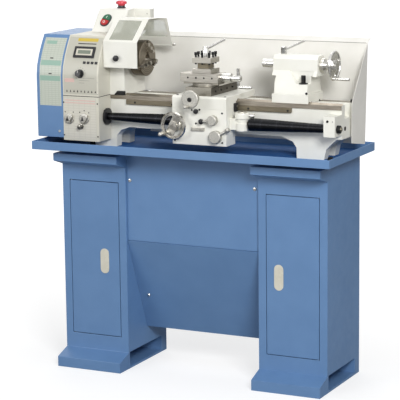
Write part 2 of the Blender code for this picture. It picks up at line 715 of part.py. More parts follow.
def make_carriage():
    """Saddle, apron, threading dial housing and what the operator turns on them."""
    low = BED_TOP + GAP
    outline = [
        (APRON_Y0, SADDLE_TOP - 0.006),
        (APRON_Y0, low - 0.022),
        (BED_Y0 - 0.0006, low - 0.022),
        (BED_Y0 - 0.0006, low),
    ]
    outline += v_notch(BED_Y0)
    outline += [
        (BED_Y1 + 0.0006, low),
        (BED_Y1 + 0.0006, low - 0.016),
        (BED_Y1 + 0.0200, low - 0.016),
        (BED_Y1 + 0.0200, SADDLE_TOP),
        (APRON_Y0 + 0.006, SADDLE_TOP),
    ]
    saddle = prism("saddle", outline, "x", SADDLE_X0, SADDLE_X1, WHITE)
    rack_room = block("saddle_rack_room", (-0.3, BED_Y0 - 0.0060, 0.94), (0.4, BED_Y0, low - WAY_DEPTH + 0.0005))
    screw_room = rod("saddle_screw_room", (CARRIAGE_X, -0.14, 0.9935), (0, 1, 0), 0.26, 0.0058, sides=20)
    trough = block("saddle_trough", (CARRIAGE_X - 0.0058, -0.14, 0.9935), (CARRIAGE_X + 0.0058, 0.115, 1.01))
    cut(saddle, rack_room, screw_room, trough)
    apron = block("apron", (SADDLE_X0, APRON_Y0, APRON_Z0), (SADDLE_X1, APRON_Y1, low - 0.0223), WHITE)
    screw_hole = rod("apron_screw_hole", (SADDLE_X0 - 0.01, SCREW_Y, SCREW_Z), (1, 0, 0), 0.24, 0.0100, sides=24)
    wheel_hole = rod("apron_wheel_hole", (WHEEL_X, APRON_Y0 - 0.01, 0.8980), (0, 1, 0), 0.028, 0.0083, sides=24)
    nut_hole = rod("apron_nut_hole", (0.1180, APRON_Y0 - 0.01, 0.9200), (0, 1, 0), 0.028, 0.0063, sides=20)
    feed_hole = rod("apron_feed_hole", (0.1280, APRON_Y0 - 0.01, 0.8640), (0, 1, 0), 0.028, 0.0063, sides=20)
    cut(apron, screw_hole, wheel_hole, nut_hole, feed_hole)
    hub = turned(
        "carriage_handwheel",
        (WHEEL_X, -0.1210, 0.8980),
        (0, -1, 0),
        [(0.0, 0.0080), (0.0100, 0.0080), (0.0100, 0.0210), (0.0220, 0.0210), (0.0260, 0.0150), (0.0400, 0.0150)],
        BRIGHT,
        28,
    )
    rim = hoop("carriage_handwheel_rim", (WHEEL_X, -0.1560, 0.8980), (0, 1, 0), 0.0420, 0.0055)
    web = rod("carriage_handwheel_web", (WHEEL_X, -0.1540, 0.8980), (0, -1, 0), 0.0040, 0.0400, sides=32)
    weld(hub, rim, web)
    opening = rod("carriage_handwheel_opening", (WHEEL_X, -0.1500, 0.8980), (0, -1, 0), 0.0150, 0.0350, sides=32)
    angle = math.radians(62.0)
    spoke_outline = []
    for along, across in ((-0.05, -0.0156), (0.05, -0.0156), (0.05, 0.0156), (-0.05, 0.0156)):
        spoke_x = WHEEL_X + along * math.cos(angle) - across * math.sin(angle)
        spoke_outline.append((spoke_x, 0.8980 + along * math.sin(angle) + across * math.cos(angle)))
    spoke = prism("carriage_handwheel_spoke", spoke_outline, "y", -0.1700, -0.1450)
    cut(opening, spoke)
    cut(hub, opening)
    peg_x = WHEEL_X - 0.0400 * math.cos(math.radians(40.0))
    peg_z = 0.8980 - 0.0400 * math.sin(math.radians(40.0))
    peg_hole = rod("carriage_handwheel_peg_hole", (peg_x, -0.1490, peg_z), (0, -1, 0), 0.03, 0.0028, sides=16)
    cut(hub, peg_hole)
    put_origin(hub, (WHEEL_X, APRON_Y0, 0.8980))
    peg = turned(
        "carriage_handle",
        (peg_x, -0.1618, peg_z),
        (0, -1, 0),
        [(0.0, 0.0060), (0.010, 0.0072), (0.022, 0.0078), (0.034, 0.0072), (0.040, 0.0040)],
        BRIGHT,
        20,
    )
    pin = rod("carriage_handle_pin", (peg_x, -0.1510, peg_z), (0, -1, 0), 0.02, 0.0025, sides=16)
    weld(peg, pin)
    put_origin(peg, (peg_x, -0.1618, peg_z))
    make_apron_levers()
    dial = turned(
        "thread_dial",
        (THREAD_DIAL_X, -0.0900, 0.8830),
        (0, 0, 1),
        [(0.0, 0.0205), (0.0030, 0.0225), (0.0260, 0.0225), (0.0300, 0.0195), (0.0400, 0.0195)]
        + [(0.0430, 0.0250), (0.0590, 0.0250), (0.0620, 0.0235)],
        WHITE,
        32,
    )
    arm = block("thread_dial_arm", (SADDLE_X1 + GAP, -0.1020, 0.8870), (THREAD_DIAL_X, -0.0760, 0.9250))
    weld(dial, arm)
    dial_hole = rod("thread_dial_hole", (0.15, SCREW_Y, SCREW_Z), (1, 0, 0), 0.10, 0.0100, sides=24)
    cut(dial, dial_hole)


def make_apron_levers():
    """Half-nut lever and feed lever on the front of the apron."""
    nut = turned(
        "half_nut_lever",
        (0.1180, -0.1220, 0.9200),
        (0, -1, 0),
        [(0.0, 0.0060), (0.0090, 0.0060), (0.0090, 0.0170), (0.0260, 0.0170), (0.0280, 0.0150)],
        STEEL,
        24,
    )
    arm = rod("half_nut_arm", (0.1180, -0.1430, 0.9200), (-1, 0, -0.12), 0.0400, 0.0040, sides=16)
    knob = turned(
        "half_nut_ball",
        (0.0850, -0.1430, 0.9160),
        (-1, 0, -0.12),
        [(0.0, 0.0040), (0.002, 0.0075), (0.008, 0.0098), (0.014, 0.0075), (0.0175, 0.0)],
        sides=20,
    )
    weld(nut, arm, knob)
    put_origin(nut, (0.1180, APRON_Y0, 0.9200))
    feed = turned(
        "feed_lever",
        (0.1280, -0.1220, 0.8640),
        (0, -1, 0),
        [(0.0, 0.0060), (0.0090, 0.0060), (0.0090, 0.0220), (0.0240, 0.0220), (0.0260, 0.0200)],
        STEEL,
        28,
    )
    arm = rod("feed_arm", (0.1280, -0.1410, 0.8640), (0.80, 0, 0.45), 0.0500, 0.0045, sides=16)
    ball = turned(
        "feed_ball",
        (0.1680, -0.1410, 0.8865),
        (0.80, 0, 0.45),
        [(0.0, 0.0045), (0.002, 0.0070), (0.008, 0.0090), (0.014, 0.0070), (0.017, 0.0)],
        sides=20,
    )
    weld(feed, arm, ball)
    put_origin(feed, (0.1280, APRON_Y0, 0.8640))


def make_slides():
    """Cross slide, its screw and handwheel, swivel base, top slide, crank, tool post and clamp lever."""
    low = SADDLE_TOP + GAP
    cross = block("cross_slide", (CARRIAGE_X - 0.0480, -0.1150, low), (CARRIAGE_X + 0.0480, 0.1000, 1.0260), STEEL)
    nut = block("cross_slide_nut", (CARRIAGE_X - 0.0045, -0.0300, 0.9915), (CARRIAGE_X + 0.0045, -0.0060, low + 0.004))
    nut_bore = rod("cross_slide_nut_bore", (CARRIAGE_X, -0.04, 0.9935), (0, 1, 0), 0.05, 0.0043, sides=20)
    weld(cross, nut)
    cut(cross, nut_bore)
    wheel = turned(
        "cross_handwheel",
        (CARRIAGE_X, CROSS_HAND_Y - 0.0080, 0.9935),
        (0, 1, 0),
        [(0.0, 0.0290), (0.0020, 0.0310), (0.0080, 0.0310), (0.0100, 0.0290), (0.0100, 0.0170)]
        + [(0.0430, 0.0170), (0.0430, 0.0040), (0.2700, 0.0040)],
        STEEL,
        32,
    )
    crank = turned(
        "cross_crank",
        (CARRIAGE_X - 0.0060, CROSS_HAND_Y - 0.0070, 0.9700),
        (0, -1, 0),
        [(0.0, 0.0040), (0.004, 0.0050), (0.020, 0.0062), (0.027, 0.0050), (0.030, 0.0)],
        sides=16,
    )
    weld(wheel, crank)
    put_origin(wheel, (CARRIAGE_X, CROSS_HAND_Y, 0.9935))
    base = rod("swivel_base", (CARRIAGE_X, TOP_SLIDE_Y, 1.0263), (0, 0, 1), 0.0107, 0.0450, STEEL, 40, 0.001)
    base_block = block(
        "swivel_base_block",
        (CARRIAGE_X - 0.0720, TOP_SLIDE_Y - 0.0260, 1.0330),
        (CARRIAGE_X + 0.0580, TOP_SLIDE_Y + 0.0260, 1.0400),
    )
    weld(base, base_block)
    put_origin(base, (CARRIAGE_X, TOP_SLIDE_Y, 1.0263))
    top = block(
        "top_slide",
        (CARRIAGE_X - 0.0820, TOP_SLIDE_Y - 0.0330, 1.0403),
        (CARRIAGE_X + 0.0600, TOP_SLIDE_Y + 0.0330, 1.0700),
        STEEL,
    )
    crank_hole = rod("top_slide_hole", (CARRIAGE_X + 0.0300, TOP_SLIDE_Y, 1.0555), (1, 0, 0), 0.05, 0.0053, sides=20)
    stud_hole = rod("top_slide_stud_hole", (CARRIAGE_X, TOP_SLIDE_Y, 1.0600), (0, 0, 1), 0.03, 0.0063, sides=20)
    cut(top, crank_hole, stud_hole)
    crank = turned(
        "top_slide_crank",
        (CARRIAGE_X + 0.0320, TOP_SLIDE_Y, 1.0555),
        (1, 0, 0),
        [(0.0, 0.0050), (0.0285, 0.0050), (0.0285, 0.0150), (0.0640, 0.0150), (0.0640, 0.0090), (0.0980, 0.0090)],
        BRIGHT,
        24,
    )
    bar = rod("top_slide_bar", (CARRIAGE_X + 0.1210, TOP_SLIDE_Y, 1.0555 + 0.034), (0, 0, -1), 0.0680, 0.0055, sides=16)
    ball = rod("top_slide_ball", (CARRIAGE_X + 0.1100, TOP_SLIDE_Y, 1.0555), (1, 0, 0), 0.0220, 0.0110, sides=20, edge=0.003)
    grip = rod("top_slide_grip", (CARRIAGE_X + 0.1210, TOP_SLIDE_Y, 1.0260), (1, 0, 0), 0.0500, 0.0050, sides=16, edge=0.001)
    weld(crank, bar, ball, grip)
    put_origin(crank, (CARRIAGE_X + 0.0600, TOP_SLIDE_Y, 1.0555))
    post = block(
        "tool_post",
        (CARRIAGE_X - 0.0350, TOP_SLIDE_Y - 0.0350, 1.0703),
        (CARRIAGE_X + 0.0350, TOP_SLIDE_Y + 0.0350, 1.1240),
        STEEL,
    )
    middle = block(
        "tool_post_slot",
        (CARRIAGE_X - 0.05, TOP_SLIDE_Y - 0.05, 1.0860),
        (CARRIAGE_X + 0.05, TOP_SLIDE_Y + 0.05, 1.1060),
    )
    core = block(
        "tool_post_slot_core",
        (CARRIAGE_X - 0.0210, TOP_SLIDE_Y - 0.0210, 1.0800),
        (CARRIAGE_X + 0.0210, TOP_SLIDE_Y + 0.0210, 1.1120),
    )
    cut(middle, core)
    cut(post, middle)
    stud_bore = rod("tool_post_bore", (CARRIAGE_X, TOP_SLIDE_Y, 1.06), (0, 0, 1), 0.08, 0.0066, sides=24)
    cut(post, stud_bore)
    put_origin(post, (CARRIAGE_X, TOP_SLIDE_Y, 1.0703))
    lever = turned(
        "tool_post_lever",
        (CARRIAGE_X, TOP_SLIDE_Y, 1.0640),
        (0, 0, 1),
        [(0.0, 0.0060), (0.0603, 0.0060), (0.0603, 0.0130), (0.0720, 0.0130), (0.0840, 0.0100), (0.0960, 0.0090)],
        BRIGHT,
        24,
    )
    arm = rod("tool_post_arm", (CARRIAGE_X, TOP_SLIDE_Y, 1.1500), (0.78, 0.24, 0.42), 0.0760, 0.0045, sides=16, edge=0.001)
    weld(lever, arm)
    put_origin(lever, (CARRIAGE_X, TOP_SLIDE_Y, 1.1243))


# ---------------------------------------------------------------- tailstock
def make_tailstock():
    """Tailstock base, body, quill, handwheel, quill lock lever and clamp bolt."""
    low = BED_TOP + GAP
    outline = [(BED_Y0 + 0.0030, low)]
    outline += v_notch(BED_Y0)
    outline += [(BED_Y1 - 0.002, low), (BED_Y1 - 0.002, 1.0085), (BED_Y0 + 0.0030, 1.0085)]
    base = prism("tailstock_base", outline, "x", TAIL_X0, TAIL_X1 + 0.012, WHITE)
    tongue = block("tailstock_tongue", (TAIL_X0 + 0.03, -0.0210, 0.9500), (TAIL_X1 - 0.03, 0.0440, low + 0.004))
    weld(base, tongue)
    body_outline = [
        (BED_Y0 + 0.0050, 1.0088),
        (BED_Y1 - 0.0050, 1.0088),
        (BED_Y1 - 0.0200, 1.0600),
        (AXIS_Y + 0.0330, 1.0850),
        (AXIS_Y + 0.0330, AXIS_Z + 0.0200),
        (AXIS_Y + 0.0200, AXIS_Z + 0.0330),
        (AXIS_Y - 0.0200, AXIS_Z + 0.0330),
        (AXIS_Y - 0.0330, AXIS_Z + 0.0200),
        (AXIS_Y - 0.0330, 1.0850),
        (BED_Y0 + 0.0100, 1.0500),
    ]
    body = prism("tailstock_body", body_outline, "x", TAIL_X0 - 0.0080, TAIL_X1 + 0.0330, WHITE)
    left_relief = block("tailstock_left_relief", (TAIL_X0 - 0.02, -0.10, 1.0), (TAIL_X0 + 0.0080, 0.15, 1.0680))
    right_relief = block("tailstock_right_relief", (TAIL_X1 + 0.0080, -0.10, 1.0), (TAIL_X1 + 0.05, 0.15, 1.0680))
    bore = rod("tailstock_bore", (TAIL_X0 - 0.03, AXIS_Y, AXIS_Z), (1, 0, 0), 0.20, 0.0143, sides=32)
    lock_hole = rod("tailstock_lock_hole", (0.3120, AXIS_Y, AXIS_Z + 0.0190), (0, 0, 1), 0.03, 0.0058, sides=20)
    pocket_outline = [(CLAMP_X - 0.0200, LEDGE_Z), (TAIL_X1 + 0.0200, LEDGE_Z), (TAIL_X1 + 0.0200, 1.0850)]
    pocket_outline.append((CLAMP_X - 0.0560, 1.0850))
    pocket = prism("tailstock_pocket", pocket_outline, "y", -0.10, CLAMP_Y + 0.0160)
    clamp_hole = rod("tailstock_clamp_hole", (CLAMP_X, CLAMP_Y, LEDGE_Z - 0.03), (0, 0, 1), 0.05, 0.0053, sides=20)
    cut(body, left_relief, right_relief, bore, lock_hole, pocket, clamp_hole)
    quill = rod("quill", (TAIL_X0 - 0.0580, AXIS_Y, AXIS_Z), (1, 0, 0), 0.1600, 0.0140, BRIGHT, 32, 0.001)
    taper = turned(
        "quill_taper",
        (TAIL_X0 - 0.0680, AXIS_Y, AXIS_Z),
        (1, 0, 0),
        [(0.0, 0.0095), (0.0100, 0.0089), (0.0560, 0.0066)],
        sides=24,
    )
    rear = rod("quill_rear", (0.3120, AXIS_Y, AXIS_Z), (1, 0, 0), 0.12, 0.0063, sides=20)
    cut(quill, taper, rear)
    wheel = turned(
        "tailstock_handwheel",
        (0.3200, AXIS_Y, AXIS_Z),
        (1, 0, 0),
        [(0.0, 0.0060), (TAIL_X1 + 0.0333 - 0.3200, 0.0060), (TAIL_X1 + 0.0333 - 0.3200, 0.0240)]
        + [(0.1430, 0.0240), (0.1440, 0.0160), (0.1510, 0.0160), (0.1600, 0.0200), (0.1870, 0.0190)],
        BRIGHT,
        28,
    )
    rim = hoop("tailstock_rim", (TAIL_WHEEL_X, AXIS_Y, AXIS_Z), (1, 0, 0), 0.0460, 0.0050)
    web = rod("tailstock_web", (TAIL_WHEEL_X - 0.002, AXIS_Y, AXIS_Z), (1, 0, 0), 0.0040, 0.0440, sides=32)
    grip = rod("tailstock_grip", (TAIL_WHEEL_X, AXIS_Y, AXIS_Z - 0.0440), (1, 0, 0), 0.0540, 0.0050, sides=16, edge=0.001)
    weld(wheel, rim, web)
    for i in range(3):
        angle = math.radians(30.0 + 120.0 * i)
        place = (TAIL_WHEEL_X - 0.01, AXIS_Y + 0.0315 * math.cos(angle), AXIS_Z + 0.0315 * math.sin(angle))
        opening = rod("tailstock_opening_%d" % (i + 1), place, (1, 0, 0), 0.02, 0.0092, sides=20)
        cut(wheel, opening)
    weld(wheel, grip)
    put_origin(wheel, (TAIL_WHEEL_X, AXIS_Y, AXIS_Z))
    lock = turned(
        "quill_lock_lever",
        (0.3120, AXIS_Y, AXIS_Z + 0.0200),
        (0, 0, 1),
        [(0.0, 0.0055), (0.0133, 0.0055), (0.0133, 0.0100), (0.0360, 0.0100), (0.0380, 0.0080)],
        BRIGHT,
        24,
    )
    arm = rod("quill_lock_arm", (0.3120, AXIS_Y, AXIS_Z + 0.0460), (0.80, 0.20, 0.38), 0.0780, 0.0040, sides=16, edge=0.001)
    weld(lock, arm)
    put_origin(lock, (0.3120, AXIS_Y, AXIS_Z + 0.0333))
    clamp = turned(
        "tailstock_clamp_bolt",
        (CLAMP_X, CLAMP_Y, LEDGE_Z - 0.0230),
        (0, 0, 1),
        [(0.0, 0.0050), (0.0230 + GAP, 0.0050), (0.0230 + GAP, 0.0150), (0.0265, 0.0150)],
        STEEL,
        24,
    )
    hexagon = rod("tailstock_clamp_hexagon", (CLAMP_X, CLAMP_Y, LEDGE_Z + 0.0030), (0, 0, 1), 0.0260, 0.0085, sides=6)
    weld(clamp, hexagon)
    put_origin(clamp, (CLAMP_X, CLAMP_Y, LEDGE_Z))


# ---------------------------------------------------------------- controls
def make_dial(name, x, z, radius, stem):
    """A round knob on the gearbox front with a raised pointer bar, origin on its shaft."""
    knob = turned(
        name,
        (x, PANEL_Y0 - GAP, z),
        (0, -1, 0),
        [(0.0, radius), (0.0040, radius), (0.0060, radius * 0.86), (0.0140, radius * 0.80), (0.0150, radius * 0.72)],
        STEEL,
        28,
    )
    bar = block(name + "_bar", (x - radius * 0.16, PANEL_Y0 - 0.0170, z - radius * 0.6), (x + radius * 0.16, PANEL_Y0 - 0.010, z + radius * 0.95))
    pin = rod(name + "_pin", (x, PANEL_Y0 - 0.003, z), (0, 1, 0), 0.030, stem, sides=20)
    weld(knob, bar, pin)
    put_origin(knob, (x, PANEL_Y0, z))


def make_controls(centre, face, side):
    """Selector dials, speed knob, panel keys, start, stop and emergency stop."""
    make_dial("gear_dial_left", -0.4360, 0.8990, 0.0190, 0.0060)
    make_dial("gear_dial_right", -0.3760, 0.9010, 0.0190, 0.0060)
    make_dial("feed_direction_knob", -0.3890, 0.8730, 0.0095, 0.0040)
    speed = turned(
        "speed_knob",
        SPEED_AT + SPEED_OUT * 0.0022,
        SPEED_OUT,
        [(0.0, 0.0135), (0.0030, 0.0140), (0.0050, 0.0120), (0.0180, 0.0110), (0.0190, 0.0095)],
        BLACK,
        28,
    )
    pin = rod("speed_knob_pin", SPEED_AT + SPEED_OUT * 0.004, -SPEED_OUT, 0.018, 0.0040, sides=20)
    weld(speed, pin)
    put_origin(speed, SPEED_AT)
    for i in range(4):
        place = KEY_AT + Vector((i * KEY_PITCH, 0.0, 0.0))
        key = rod("panel_key_%d" % (i + 1), place - KEY_OUT * 0.0065, KEY_OUT, 0.0090, 0.0040, BLACK, 16, 0.0005)
        put_origin(key, place)
    for label, shift, kind in (("start_button", 0.0115, GREEN), ("stop_button", -0.0115, RED)):
        start = centre + side * shift - face * 0.012
        button = rod(label, start, face, 0.0160, 0.0080, kind, 24, 0.0008)
        put_origin(button, centre + side * shift)
    stop = turned(
        "emergency_stop",
        (-0.3800, 0.1550, 1.2545),
        (0, 0, 1),
        [(0.0, 0.0080), (0.0200, 0.0080), (0.0200, 0.0180), (0.0260, 0.0195), (0.0320, 0.0180), (0.0350, 0.0120)],
        RED,
        28,
    )
    put_origin(stop, (-0.3800, 0.1550, 1.2620))


def main():
    """Builds every piece."""
    clear_scene()
    make_stand()
    make_bed()
    centre, face, side = make_headstock()
    make_splash_guard()
    make_drive()
    make_chuck_guard()
    make_leadscrew()
    make_carriage()
    make_slides()
    make_tailstock()
    make_controls(centre, face, side)


main()
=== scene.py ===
"""Looks of a bench metal lathe on its cabinet stand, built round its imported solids.

Metres, +Z up, +X from the headstock to the tailstock, -Y is the operator's side. Sizes are in metres unless a
name ends in _mm. CORNER and its like are the least angles, in degrees, that count as an edge. WAY_DROP is how
far the ways lie below the highest point of the bed.
"""

import json
import logging
import math
from collections.abc import Callable
from dataclasses import dataclass, field
from enum import Enum

import bpy
from mathutils import Matrix, Vector


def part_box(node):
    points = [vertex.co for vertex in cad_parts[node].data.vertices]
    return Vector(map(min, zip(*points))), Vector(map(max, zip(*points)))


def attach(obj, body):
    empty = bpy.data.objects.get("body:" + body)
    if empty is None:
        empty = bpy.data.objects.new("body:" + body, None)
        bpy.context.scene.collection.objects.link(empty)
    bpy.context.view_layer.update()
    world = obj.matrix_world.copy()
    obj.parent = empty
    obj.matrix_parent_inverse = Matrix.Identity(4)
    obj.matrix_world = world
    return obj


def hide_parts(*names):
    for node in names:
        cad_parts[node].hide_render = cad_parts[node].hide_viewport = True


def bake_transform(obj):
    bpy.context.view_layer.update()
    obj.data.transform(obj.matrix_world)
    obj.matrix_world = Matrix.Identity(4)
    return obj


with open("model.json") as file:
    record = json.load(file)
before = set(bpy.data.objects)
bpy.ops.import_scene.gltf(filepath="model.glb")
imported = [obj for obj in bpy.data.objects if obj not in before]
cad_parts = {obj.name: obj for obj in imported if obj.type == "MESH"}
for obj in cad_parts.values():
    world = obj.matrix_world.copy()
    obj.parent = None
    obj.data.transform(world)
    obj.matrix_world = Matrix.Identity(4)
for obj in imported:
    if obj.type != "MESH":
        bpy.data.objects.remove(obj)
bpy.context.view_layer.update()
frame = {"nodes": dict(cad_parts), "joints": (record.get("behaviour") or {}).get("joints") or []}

log = logging.getLogger("lathe")
MM = 0.001

FRONT = Vector((0, -1, 0))
RIGHT = Vector((1, 0, 0))
UP = Vector((0, 0, 1))
CORNER = 32.0
LEVER_CORNER = 28.0
WHEEL_CORNER = 24.0
WAY_DROP = 0.007
SPINDLE_Y = 0.0175
SPINDLE_Z = 1.1030


# ---------------------------------------------------------------- places
@dataclass(frozen=True)
class Extent:
    """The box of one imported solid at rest."""

    x0: float
    x1: float
    y0: float
    y1: float
    z0: float
    z1: float

    @property
    def x(self) -> float:
        """Middle, left to right."""
        return (self.x0 + self.x1) / 2

    @property
    def y(self) -> float:
        """Middle, front to back."""
        return (self.y0 + self.y1) / 2

    @property
    def z(self) -> float:
        """Middle height."""
        return (self.z0 + self.z1) / 2

    @property
    def middle(self) -> Vector:
        """The box's middle point."""
        return Vector((self.x, self.y, self.z))


def extent(node: str) -> Extent:
    """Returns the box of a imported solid.

    Args:
        node: the solid's name.

    Returns:
        Its lowest and highest corner as an Extent.
    """
    low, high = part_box(node)
    return Extent(low.x, high.x, low.y, high.y, low.z, high.z)


def joint_of(name: str) -> dict:
    """Returns a joint of the record."""
    return next(joint for joint in frame["joints"] if joint["name"] == name)


def joint_place(name: str) -> Vector:
    """Returns the point on the axis of a joint of the record."""
    return Vector(joint_of(name)["pos_m"])


def joint_out(name: str) -> Vector:
    """Returns the way that a pressed or turned piece stands out of its face."""
    return -Vector(joint_of(name)["axis"])


# ---------------------------------------------------------------- workshop: how a mesh is made
def start_clean() -> None:
    """Leaves edit mode and selects nothing, because an operator acts on all that is selected."""
    if bpy.context.object is not None and bpy.context.object.mode != "OBJECT":
        bpy.ops.object.mode_set(mode="OBJECT")
    bpy.ops.object.select_all(action="DESELECT")


def pick(item: bpy.types.Object) -> None:
    """Selects one object alone and makes it active."""
    start_clean()
    item.select_set(True)
    bpy.context.view_layer.objects.active = item


def use_modifier(item: bpy.types.Object, kind: str, **settings: object) -> None:
    """Puts a modifier on an object and applies it.

    Args:
        item: the object.
        kind: Blender's type name of the modifier.
        settings: its properties.
    """
    pick(item)
    step = item.modifiers.new(kind.lower(), kind)
    for key, value in settings.items():
        setattr(step, key, value)
    bpy.ops.object.modifier_apply(modifier=step.name)


def make_outward(item: bpy.types.Object) -> None:
    """Points all faces of a closed shell outward."""
    pick(item)
    bpy.ops.object.mode_set(mode="EDIT")
    bpy.ops.mesh.select_all(action="SELECT")
    bpy.ops.mesh.normals_make_consistent(inside=False)
    bpy.ops.object.mode_set(mode="OBJECT")


def soften(
    item: bpy.types.Object, edge: float, segments: int = 2, corner: float = CORNER,
) -> bpy.types.Object:
    """Rounds the sharp edges of an object and shades it smooth between them.

    Args:
        item: the object.
        edge: how wide the rounding is.
        segments: how many facets the rounding has.
        corner: the least angle, in degrees, that counts as an edge.

    Returns:
        The same object.
    """
    if edge > 0:
        use_modifier(
            item, "BEVEL", width=edge, segments=segments,
            limit_method="ANGLE", angle_limit=math.radians(corner),
        )
    pick(item)
    bpy.ops.object.shade_smooth_by_angle(angle=math.radians(corner))
    use_modifier(item, "WEIGHTED_NORMAL", keep_sharp=True)
    return item


def place(item: bpy.types.Object, matrix: Matrix) -> bpy.types.Object:
    """Moves a mesh into place and leaves its object at the origin.

    Args:
        item: the object, made at the origin.
        matrix: where it goes.

    Returns:
        The same object.
    """
    pick(item)
    item.matrix_world = matrix @ item.matrix_world
    bpy.ops.object.transform_apply(location=True, rotation=True, scale=True)
    return item


def facing(at: Vector, along: Vector) -> Matrix:
    """Returns the matrix that lays a piece's Z axis along a direction, from a point."""
    return Matrix.Translation(Vector(at)) @ Vector(along).to_track_quat("Z", "Y").to_matrix().to_4x4()


def lying(at: Vector, out: Vector) -> Matrix:
    """Returns the matrix that lays a flat piece on a face: its X to the right, its Z outward."""
    return Matrix.Translation(at) @ Matrix((RIGHT, out.cross(RIGHT), out)).transposed().to_4x4()


def ring(radius: float, steps: int) -> list[tuple[float, float]]:
    """Returns a round outline about the origin."""
    turns = [2 * math.pi * i / steps for i in range(steps)]
    return [(radius * math.cos(turn), radius * math.sin(turn)) for turn in turns]


def pinch(
    item: bpy.types.Object, above: float, scale: tuple[float, float, float], centre: tuple | Vector,
) -> None:
    """Narrows what lies above a height in a piece.

    Args:
        item: the piece.
        above: the height.
        scale: the scale along each axis.
        centre: the point that stays.
    """
    pick(item)
    for vertex in item.data.vertices:
        vertex.select = vertex.co.z > above
    bpy.ops.object.mode_set(mode="EDIT")
    bpy.ops.transform.resize(value=scale, center_override=centre)
    bpy.ops.object.mode_set(mode="OBJECT")


def turned_part(
    name: str,
    profile: list[tuple[float, float]],
    at: Vector,
    along: Vector,
    sides: int = 64,
    edge: float = 0.0,
) -> bpy.types.Object:
    """Makes a round piece as a lathe would: a disc is drawn out along its axis and scaled at each step.

    Args:
        name: the piece's name.
        profile: pairs of distance along the axis and radius.
        at: where the axis starts.
        along: the way the axis points.
        sides: how many sides the round has.
        edge: rounding of the corners of the profile.

    Returns:
        The finished mesh object.
    """
    start_clean()
    here, radius = profile[0]
    begin = here
    bpy.ops.mesh.primitive_circle_add(vertices=sides, radius=radius, fill_type="NGON", enter_editmode=True)
    for height, wide in profile[1:]:
        bpy.ops.mesh.extrude_region_move(TRANSFORM_OT_translate={"value": (0.0, 0.0, height - here)})
        if abs(wide - radius) > 1e-7:
            scale = wide / radius
            bpy.ops.transform.resize(value=(scale, scale, 1.0), center_override=(0.0, 0.0, height - begin))
        here, radius = height, wide
    bpy.ops.object.mode_set(mode="OBJECT")
    item = bpy.context.object
    item.name = item.data.name = name
    make_outward(item)
    place(item, facing(at, along) @ Matrix.Translation((0.0, 0.0, begin)))
    return soften(item, edge, 2, 30.0)


def slab(name: str, low: Vector, high: Vector, edge: float = 0.001, segments: int = 2) -> bpy.types.Object:
    """Makes a box between two corners with rounded edges.

    Args:
        name: the piece's name.
        low: lowest corner.
        high: highest corner.
        edge: width of the rounding.
        segments: facets of the rounding.

    Returns:
        The finished mesh object.
    """
    start_clean()
    low, high = Vector(low), Vector(high)
    bpy.ops.mesh.primitive_cube_add(size=1.0, location=(low + high) / 2)
    item = bpy.context.object
    item.name = item.data.name = name
    item.scale = high - low
    bpy.ops.object.transform_apply(location=True, rotation=True, scale=True)
    return soften(item, edge, segments)


class Flat(Enum):
    """The plane an outline is drawn in, and the way it is pushed."""

    XY = 2
    XZ = 1
    YZ = 0

    def spot(self, pair: tuple[float, float], depth: float) -> Vector:
        """Puts a pair of the plane's coordinates at a depth."""
        values = list(pair)
        values.insert(self.value, depth)
        return Vector(values)


def drawn_plate(
    name: str,
    outline: list[tuple[float, float]],
    flat: Flat,
    start: float,
    end: float,
    edge: float = 0.0,
    corner: float = CORNER,
) -> bpy.types.Object:
    """Draws an outline point by point from a flat ring of vertices and pushes it to a thickness.

    Args:
        name: the piece's name.
        outline: the outline's points in the plane.
        flat: which plane it is.
        start: where the first face is.
        end: where the second face is.
        edge: rounding of the edges.
        corner: the least angle, in degrees, that counts as an edge.

    Returns:
        The finished mesh object.
    """
    start_clean()
    bpy.ops.mesh.primitive_circle_add(vertices=len(outline), fill_type="NGON")
    item = bpy.context.object
    item.name = item.data.name = name
    for vertex, pair in zip(item.data.vertices, outline):
        vertex.co = flat.spot(pair, start)
    push = flat.spot((0.0, 0.0), end - start)
    bpy.ops.object.mode_set(mode="EDIT")
    bpy.ops.mesh.select_all(action="SELECT")
    bpy.ops.mesh.extrude_region_move(TRANSFORM_OT_translate={"value": push})
    bpy.ops.object.mode_set(mode="OBJECT")
    make_outward(item)
    return soften(item, edge, 2, corner)


def bent_bar(
    name: str, points: list[Vector], radius: float, closed: bool = False, sides: int = 4,
) -> bpy.types.Object:
    """Bends a round bar through points.

    Args:
        name: the piece's name.
        points: the middle line.
        radius: half the bar's thickness.
        closed: whether it joins its own start.
        sides: half the number of sides, less two.

    Returns:
        The finished mesh object.
    """
    line = bpy.data.curves.new(name, "CURVE")
    line.dimensions = "3D"
    line.bevel_depth = radius
    line.bevel_resolution = sides
    line.use_fill_caps = True
    spline = line.splines.new("POLY")
    spline.points.add(len(points) - 1)
    for knot, spot in zip(spline.points, points):
        knot.co = (*spot, 1.0)
    spline.use_cyclic_u = closed
    item = bpy.data.objects.new(name, line)
    bpy.context.scene.collection.objects.link(item)
    pick(item)
    bpy.ops.object.convert(target="MESH")
    item = bpy.context.object
    item.name = item.data.name = name
    return soften(item, 0.0)


def cut_away(item: bpy.types.Object, *tools: bpy.types.Object) -> bpy.types.Object:
    """Takes tools out of an object and throws the tools away."""
    for tool in tools:
        use_modifier(item, "BOOLEAN", operation="DIFFERENCE", solver="EXACT", object=tool)
        bpy.data.objects.remove(tool, do_unlink=True)
    return item


def joined(name: str, items: list[bpy.types.Object]) -> bpy.types.Object:
    """Joins several objects as one piece.

    Args:
        name: the piece's name.
        items: the objects; they must have their materials if these differ.

    Returns:
        The one object.
    """
    pick(items[0])
    for item in items[1:]:
        item.select_set(True)
    if len(items) > 1:
        bpy.ops.object.join()
    items[0].name = items[0].data.name = name
    return items[0]


